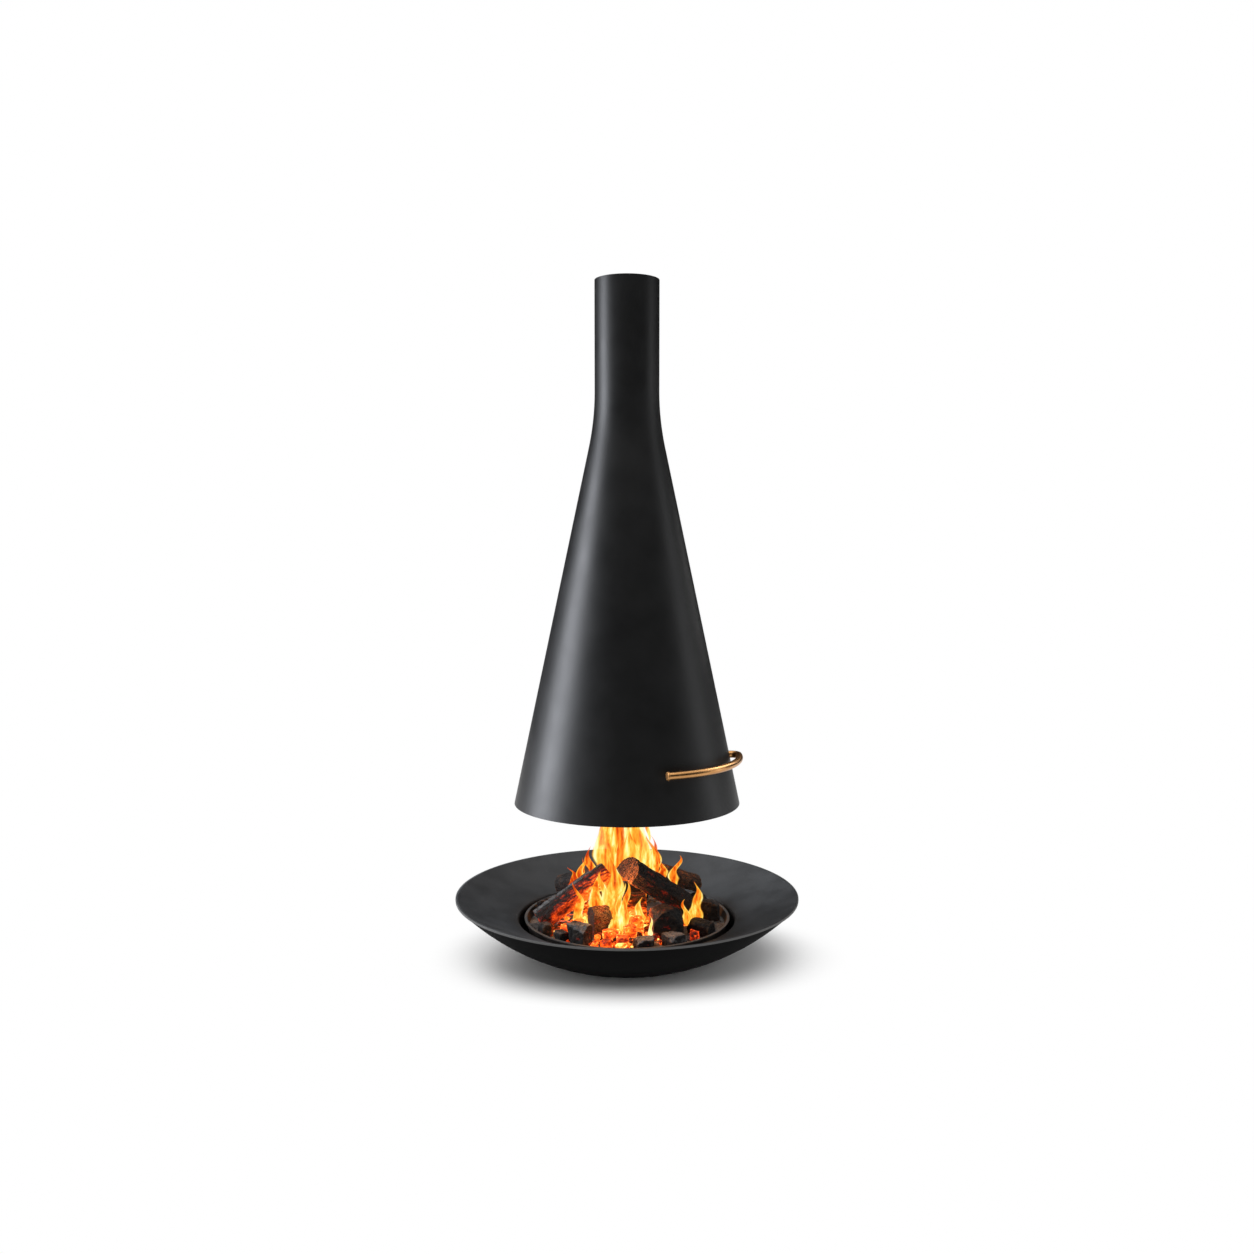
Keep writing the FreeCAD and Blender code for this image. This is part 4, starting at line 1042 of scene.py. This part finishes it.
class FIREPLACE_OT_coals(Piece, bpy.types.Operator):
    """Makes the charcoal, the embers and the ash"""

    bl_idname = "fireplace.coals"
    bl_label = "Coals and ash"

    # Coals and embers: mesh size and depth of the chips in metres, colours and brightness
    COAL_VOXEL = 0.0042
    COAL_CHIP = 0.0030
    COAL_WOOD = (0.125, 0.062, 0.026)
    EMBER_VOXEL = 0.0034
    EMBER_CHIP = 0.0032
    EMBER_CHAR = (0.05, 0.02, 0.01)
    EMBER_WOOD = (0.10, 0.03, 0.01)
    EMBER_GLOW = 1.4

    # Ember bits: the bed's share that they lie on, their places, sizes and dents in metres, and heats
    BED_SHARE = 0.88
    BIT_SHIFT = 0.04
    BIT_SPREAD = 0.085
    BIT_SIZES = (0.005, 0.017)
    BIT_LIFT = 0.012
    BIT_HEATS = (0.20, 1.05)
    BIT_CORNERS = 160
    BIT_DENT = 0.0016

    # Ash: mesh steps, the heaps' repeats per metre, relief and crumb sizes in metres, share of the bed's area
    ASH_RINGS = 70
    ASH_SECTORS = 180
    ASH_EDGE = 0.05
    HEAP_REPEATS = 24
    HEAP_FADING = 0.8
    HEAP_DEPTH = 0.0045
    HEAP_SINK = 0.0015
    CRUMB_LEAST = 0.0016
    CRUMB_GROWTH = 0.0065
    CRUMB_AREA = (0.05, 0.92)

    def execute(self, context):
        """Dresses the CAD lumps and strews crumbs over the ash."""
        fire = self.settings(context).fire
        # Without a seed, vector noise starts from the clock
        noise.seed_set(fire.seed + 1)
        coal = burning("charcoal", fire.coal, self.COAL_WOOD, fire.glow)
        coal_looks = (self.coal_heat_and_firelight, self.coal_ash, coal, "charcoal")
        dress_lumps("charcoal", self.COAL_VOXEL, self.COAL_CHIP, *coal_looks)
        ember = burning("ember", self.EMBER_CHAR, self.EMBER_WOOD, fire.glow * self.EMBER_GLOW)
        ember_looks = (self.ember_heat, self.ember_ash, ember, "ember")
        dress_lumps("embers", self.EMBER_VOXEL, self.EMBER_CHIP, *ember_looks)
        self.strew_embers(fire, ember)
        self.strew_ash(fire)
        return {"FINISHED"}

    def strew_embers(self, settings, material):
        """Broken glowing bits that fill the gaps between the larger embers."""
        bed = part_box("ash_bed")[1]
        low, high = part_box("embers")
        dice = random.Random(settings.seed + 1)
        bm = bmesh.new()
        warmth = bm.verts.layers.float.new("warmth")
        for bit in range(settings.bits):
            across = dice.gauss(FIRE_CORE.x + self.BIT_SHIFT, self.BIT_SPREAD)
            spot = Vector((across, dice.uniform(low.y, high.y), bed.z))
            if spot.xy.length > self.BED_SHARE * bed.x:
                continue
            size = dice.uniform(*self.BIT_SIZES)
            spot.z += 0.5 * size + dice.uniform(0, self.BIT_LIFT)
            glow = dice.uniform(*self.BIT_HEATS)
            for vertex in add_lump(bm, spot, size, dice):
                vertex[warmth] = glow
        bmesh.ops.subdivide_edges(bm, edges=bm.edges, cuts=2, use_grid_fill=True)
        for vertex in bm.verts:
            vertex.co += noise.noise_vector(vertex.co * self.BIT_CORNERS) * self.BIT_DENT
        piece = new_object("ember_bits", bm, material, "fire_pan", "ember", sharp=60.0)
        spots = points_of(piece.data)
        store(piece.data, "grain", spots, "FLOAT_VECTOR")
        for name in ("ash", "bare", "edge"):
            store(piece.data, name, np.zeros(len(spots)))

    @staticmethod
    def coal_heat_and_firelight(spots, normals):
        """Coals glow with heat near the fire; the extra glow on the sides that face it is painted firelight.
        """
        inwards = np.array(FIRE_CORE) - spots
        inwards /= np.linalg.norm(inwards, axis=1)[:, None]
        # Painted firelight: the sides that face the fire glow more, standing in for the fire's light falling
        # on them
        painted_firelight_side = 0.35 + 0.65 * smooth_step((inwards * normals).sum(axis=1), -0.1, 0.7)
        return 0.95 * near_fire(spots, reach=0.29) * painted_firelight_side

    @staticmethod
    def coal_ash(spots, normals):
        """Coals away from the fire are dusted with ash on top."""
        far = np.linalg.norm(spots[:, :2], axis=1)
        front = smooth_step(spots[:, 1], -0.20, -0.26)
        return (0.38 + 0.17 * front) * smooth_step(far, 0.18, 0.29) * smooth_step(normals[:, 2], -0.4, 0.6)

    @staticmethod
    def ember_heat(spots, normals):
        """Embers glow all over, most near the core."""
        return 0.42 + 0.5 * near_fire(spots, reach=0.33)

    @staticmethod
    def ember_ash(spots, normals):
        """Embers carry a little ash on top."""
        return 0.25 * smooth_step(normals[:, 2], 0.3, 0.9)

    def strew_ash(self, settings):
        """Makes the uneven ash bed and the crumbs on it."""
        low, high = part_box("ash_bed")
        radius = high.x
        top = [(radius * ring / self.ASH_RINGS, high.z) for ring in range(self.ASH_RINGS + 1)]
        bm = lathe([*top, (radius, low.z), (0, low.z)], self.ASH_SECTORS, closed=False)
        for vertex in bm.verts:
            if vertex.co.z > (low.z + high.z) / 2:
                heap = rough_noise(vertex.co * self.HEAP_REPEATS, self.HEAP_FADING)
                edge = 0.5 + 0.5 * min(1.0, (radius - vertex.co.xy.length) / self.ASH_EDGE)
                vertex.co.z += edge * (self.HEAP_DEPTH * heap - self.HEAP_SINK)
        dice = random.Random(settings.seed)
        for crumb in range(settings.crumbs):
            angle = dice.uniform(0, TURN)
            reach = radius * math.sqrt(dice.uniform(*self.CRUMB_AREA))
            size = self.CRUMB_LEAST + self.CRUMB_GROWTH * dice.random() ** 3
            add_lump(bm, Vector((reach * math.cos(angle), reach * math.sin(angle), high.z)), size, dice)
        piece = new_object("ash_heap", bm, ash("ash"), "fire_pan", "ash", "ash_bed", sharp=50.0)
        spots = points_of(piece.data)
        store(piece.data, "warmth", near_fire(spots, reach=0.24))


class FIREPLACE_OT_flames(Piece, bpy.types.Operator):
    """Lights the fire"""

    bl_idname = "fireplace.flames"
    bl_label = "Flames"

    # Foot x, y, z, tip x, y, z, width and sway in millimetres, phase in waves, turn in degrees, heat
    TONGUES = (
        (-35, 40, 235, -45, 40, 720, 125, 26, 0.10, 4, 0.66),
        (42, 45, 235, -4, 45, 780, 112, 24, 0.42, -6, 0.70),
        (0, 85, 230, -18, 70, 820, 124, 26, 0.77, 10, 0.30),
        (70, 20, 225, 22, 20, 560, 96, 22, 0.05, 12, 0.62),
        (96, 30, 225, 86, 25, 412, 66, 18, 0.60, -18, 0.58),
        (80, 30, 390, 66, 28, 535, 16, 16, 0.35, 6, 0.55),
        (-26, 5, 300, -24, 15, 640, 46, 14, 0.18, -4, 0.16),
        (118, 40, 225, 128, 36, 330, 50, 16, 0.73, 10, 0.52),
        (-70, -5, 225, -68, 5, 620, 92, 24, 0.33, -8, 0.58),
        (-105, -20, 220, -132, -15, 380, 66, 24, 0.90, 22, 0.52),
        (-140, 0, 220, -165, 10, 340, 52, 20, 0.20, -26, 0.46),
        (-185, 15, 215, -196, 20, 300, 42, 16, 0.55, 14, 0.42),
        (-62, -150, 125, -84, -120, 325, 66, 18, 0.72, 20, 0.62),
        (-15, -165, 122, -20, -140, 285, 50, 14, 0.12, -16, 0.66),
        (238, -70, 122, 240, -62, 272, 62, 14, 0.48, 8, 0.55),
        (206, -86, 122, 198, -80, 214, 40, 10, 0.85, -20, 0.50),
        (20, 10, 250, 25, 20, 560, 80, 26, 0.25, 30, 0.60),
        (40, 40, 240, 30, 45, 690, 120, 26, 0.66, 84, 0.62),
        (-40, 30, 240, -30, 35, 610, 105, 24, 0.15, 62, 0.55),
        (90, 60, 235, 84, 60, 405, 95, 18, 0.37, -64, 0.55),
        (-150, 70, 200, -160, 75, 320, 60, 18, 0.80, 70, 0.45),
        (60, 150, 150, 50, 140, 350, 75, 18, 0.52, 110, 0.50),
        (165, 60, 215, 178, 58, 330, 46, 18, 0.28, -12, 0.48),
        (40, -120, 125, 46, -110, 228, 52, 12, 0.95, 14, 0.62),
        (-95, -152, 128, -104, -105, 318, 78, 16, 0.07, 10, 0.56),
        (-52, -165, 126, -46, -112, 392, 88, 18, 0.58, -8, 0.60),
        (-14, -172, 126, -2, -150, 296, 54, 16, 0.31, 12, 0.55),
        (-165, -100, 128, -172, -70, 270, 52, 14, 0.63, -14, 0.48),
        (-120, -120, 122, -128, -112, 230, 46, 12, 0.40, 30, 0.55),
        (84, -194, 106, 76, -188, 190, 20, 8, 0.36, 5, 0.78),
        (122, -198, 106, 128, -192, 166, 18, 6, 0.81, -8, 0.74),
        (-22, -206, 104, -12, -200, 162, 22, 7, 0.22, 10, 0.80),
    )

    def execute(self, context):
        """Makes all the tongues as one piece."""
        bm = bmesh.new()
        layers = (
            bm.verts.layers.float.new("rise"),
            bm.verts.layers.float.new("side"),
            bm.verts.layers.float.new("warmth"),
            bm.verts.layers.float_vector.new("seed"),
        )
        for *ends, width, sway, phase, turn, heat in self.TONGUES:
            root = Vector(ends[:3]) / MM_PER_M
            tip = Vector(ends[3:]) / MM_PER_M
            sizes = (width / MM_PER_M, sway / MM_PER_M)
            tongue(bm, layers, root, tip, *sizes, phase, math.radians(turn), heat)
        gas = flame_light("flame", self.settings(context).fire.flame)
        piece = new_object("flames", bm, gas, "fire_pan", "ember", sharp=180.0)
        piece.visible_shadow = False
        return {"FINISHED"}


class FIREPLACE_OT_stage(Piece, bpy.types.Operator):
    """Sets the floor, the soft studio light and the camera"""

    bl_idname = "fireplace.stage"
    bl_label = "Stage"

    # Lens and sensor in millimetres, the camera's place in metres and its downward tilt in degrees
    LENS = 35
    SENSOR = 36
    CAMERA_PLACE = (0, -4.19, 1.4548)
    CAMERA_DOWN = 4.222

    # The sky's strength as light, and the stage's sizes in metres
    SKY_LIGHT = 0.80
    FLOOR_REACH = 14
    FLAG_RADIUS = 7.0
    FLAG_HEIGHT = 7.0
    FLAG_MIDDLE = 3.4

    # Place, aim, width and height in metres, watts and colour
    LAMPS = {
        "key_left": ((-3.0, -0.1, 1.5), (0, 0, 1.3), 1.2, 3.0, 165, (0.90, 0.93, 1.0)),
        "fill_right": ((3.2, 0.2, 1.5), (0, 0, 1.3), 1.0, 3.0, 15, (0.97, 0.98, 1.0)),
        "top": ((0, -0.4, 4.6), (0, 0, 0), 4.0, 4.0, 40, WHITE),
        "back": ((-2.4, 2.6, 3.0), (0, 0, 0.2), 2.6, 1.8, 95, WHITE),
        "edge_right": ((2.7, 2.3, 1.7), (0, 0, 1.1), 0.4, 0.9, 2.5, (1.0, 0.99, 0.97)),
        "rail_light": ((2.2, 1.3, 2.4), (0.3, -0.2, 0.7), 1.2, 1.2, 24, (1.0, 0.97, 0.92)),
        "bowl_light": ((-2.6, 2.0, 1.5), (0.1, -0.1, 0.1), 1.6, 1.6, 340, (0.84, 0.92, 1.0)),
    }
    GLOSS_ONLY = ("key_left", "fill_right", "edge_right", "rail_light")
    NOT_IN_GLOSS = ("back", "bowl_light")

    # Warm lamps in the fire: colour, radius, and each one's place and watts
    FLAME_COLOUR = (1.0, 0.42, 0.12)
    FLAME_SIZE = 0.06
    FIRE_LAMPS = {
        "glow_front": ((-0.02, -0.20, 0.27), 3.6),
        "glow_core": ((0.02, 0.05, 0.42), 6.0),
    }

    def execute(self, context):
        """Builds the stage."""
        scene = context.scene
        scene.view_settings.view_transform = "Standard"
        self.floor()
        self.sky(scene)
        lamps = {name: self.softbox(name, *row) for name, row in self.LAMPS.items()}
        hearth = frame["nodes"]["inner_dish"]
        others = [piece for piece in bpy.data.objects if piece.type == "MESH" and piece != hearth]
        self.only_on(lamps["rail_light"], (bpy.data.objects["rail_rod"], frame["nodes"]["handle_cap"]))
        self.only_on(lamps["bowl_light"], (hearth,))
        for name, (place, power) in self.FIRE_LAMPS.items():
            self.only_on(self.fire_glow(name, place, power), others)
        self.flag()
        self.camera(scene)
        return {"FINISHED"}

    def camera(self, scene):
        """The photograph's view, level from side to side and a little downwards."""
        lens = bpy.data.cameras.new("camera")
        lens.lens = self.LENS
        lens.sensor_width = self.SENSOR
        camera = bpy.data.objects.new("camera", lens)
        camera.location = self.CAMERA_PLACE
        camera.rotation_euler = (math.radians(90 - self.CAMERA_DOWN), 0, 0)
        scene.collection.objects.link(camera)
        scene.camera = camera

    def floor(self):
        """A wide plain floor."""
        bm = bmesh.new()
        bmesh.ops.create_grid(bm, x_segments=8, y_segments=8, size=self.FLOOR_REACH)
        mesh = bpy.data.meshes.new("floor")
        bm.to_mesh(mesh)
        bm.free()
        mesh.materials.append(pale_floor("floor_white"))
        floor = bpy.data.objects.new("floor", mesh)
        bpy.context.scene.collection.objects.link(floor)

    def sky(self, scene):
        """White to look at and in reflections, and a softer white as light."""
        world = bpy.data.worlds.new("studio")
        scene.world = world
        world.use_nodes = True
        nodes = Nodes(world.node_tree)
        level = nodes.shown() * (1 - self.SKY_LIGHT) + self.SKY_LIGHT
        back = nodes.add("ShaderNodeBackground", {"Color": WHITE, "Strength": level})
        nodes.add("ShaderNodeOutputWorld", {"Surface": back})

    @staticmethod
    def only_on(lamp, pieces):
        """Keeps a lamp's light on some pieces, as a shade on the lamp would."""
        lit = bpy.data.collections.new(lamp.name + "_lit")
        for piece in pieces:
            lit.objects.link(piece)
        lamp.light_linking.receiver_collection = lit

    def fire_glow(self, name, place, power):
        """Warm light that the flames throw on the logs, the pan and the hood."""
        lamp = bpy.data.lights.new(name, "POINT")
        lamp.color = self.FLAME_COLOUR
        lamp.energy = power
        lamp.shadow_soft_size = self.FLAME_SIZE
        holder = bpy.data.objects.new(name, lamp)
        holder.location = place
        holder.visible_glossy = False
        bpy.context.scene.collection.objects.link(holder)
        return holder

    def flag(self):
        """A tall dark studio flag round the set, which only glossy surfaces see."""
        bm = bmesh.new()
        radius = self.FLAG_RADIUS
        bmesh.ops.create_cone(bm, segments=96, radius1=radius, radius2=radius, depth=self.FLAG_HEIGHT)
        bmesh.ops.translate(bm, verts=bm.verts, vec=(0, 0, self.FLAG_MIDDLE))
        mesh = bpy.data.meshes.new("flag")
        bm.to_mesh(mesh)
        bm.free()
        paint = Paint("flag_cloth")
        weave = paint.noise(6.0, 2.0)
        cloth = paint.mix(weave, (0.004, 0.004, 0.004), (0.007, 0.007, 0.007))
        mesh.materials.append(paint.surface(Base_Color=cloth, Roughness=0.95))
        flag = bpy.data.objects.new("flag", mesh)
        bpy.context.scene.collection.objects.link(flag)
        for ray in ("camera", "diffuse", "transmission", "volume_scatter", "shadow"):
            setattr(flag, f"visible_{ray}", False)

    def softbox(self, name, place, aim, width, height, power, colour):
        """One soft rectangular lamp, which may light by its reflection only or keep out of reflections."""
        lamp = bpy.data.lights.new(name, "AREA")
        lamp.color = colour
        lamp.shape = "RECTANGLE"
        lamp.size = width
        lamp.size_y = height
        lamp.energy = power
        holder = bpy.data.objects.new(name, lamp)
        holder.location = place
        holder.rotation_euler = (Vector(aim) - Vector(place)).to_track_quat("-Z", "Y").to_euler()
        holder.visible_diffuse = name not in self.GLOSS_ONLY
        holder.visible_glossy = name not in self.NOT_IN_GLOSS
        bpy.context.scene.collection.objects.link(holder)
        return holder


class FIREPLACE_PT_panel(bpy.types.Panel):
    """Settings and buttons of the fireplace"""

    bl_idname = "FIREPLACE_PT_panel"
    bl_label = "Fireplace"
    bl_space_type = "VIEW_3D"
    bl_region_type = "UI"
    bl_category = "Fireplace"

    def draw(self, context):
        """Lists the settings and the operators."""
        for title, group in (("Hood and bowl", "hood"), ("Rail", "rail"), ("Fire", "fire")):
            box = self.layout.box()
            box.label(text=title)
            settings = getattr(context.scene.fireplace, group)
            for name in settings.__annotations__:
                box.prop(settings, name)
        for operator in OPERATORS:
            self.layout.operator(operator.bl_idname)


OPERATORS = (
    FIREPLACE_OT_hood,
    FIREPLACE_OT_hearth,
    FIREPLACE_OT_metalwork,
    FIREPLACE_OT_cables,
    FIREPLACE_OT_logs,
    FIREPLACE_OT_coals,
    FIREPLACE_OT_flames,
    FIREPLACE_OT_stage,
)
CLASSES = (HoodSettings, RailSettings, FireSettings, FireplaceSettings, *OPERATORS, FIREPLACE_PT_panel)


def register():
    """Adds the classes and the settings."""
    for each in CLASSES:
        bpy.utils.register_class(each)
    bpy.types.Scene.fireplace = PointerProperty(type=FireplaceSettings)


def unregister():
    """Takes the settings and the classes away."""
    del bpy.types.Scene.fireplace
    for each in reversed(CLASSES):
        bpy.utils.unregister_class(each)


def main():
    """Makes every piece and the stage."""
    register()
    bpy.ops.fireplace.hood()
    bpy.ops.fireplace.hearth()
    bpy.ops.fireplace.metalwork()
    bpy.ops.fireplace.cables()
    bpy.ops.fireplace.logs()
    bpy.ops.fireplace.coals()
    bpy.ops.fireplace.flames()
    bpy.ops.fireplace.stage()


if __name__ == "__main__":
    main()
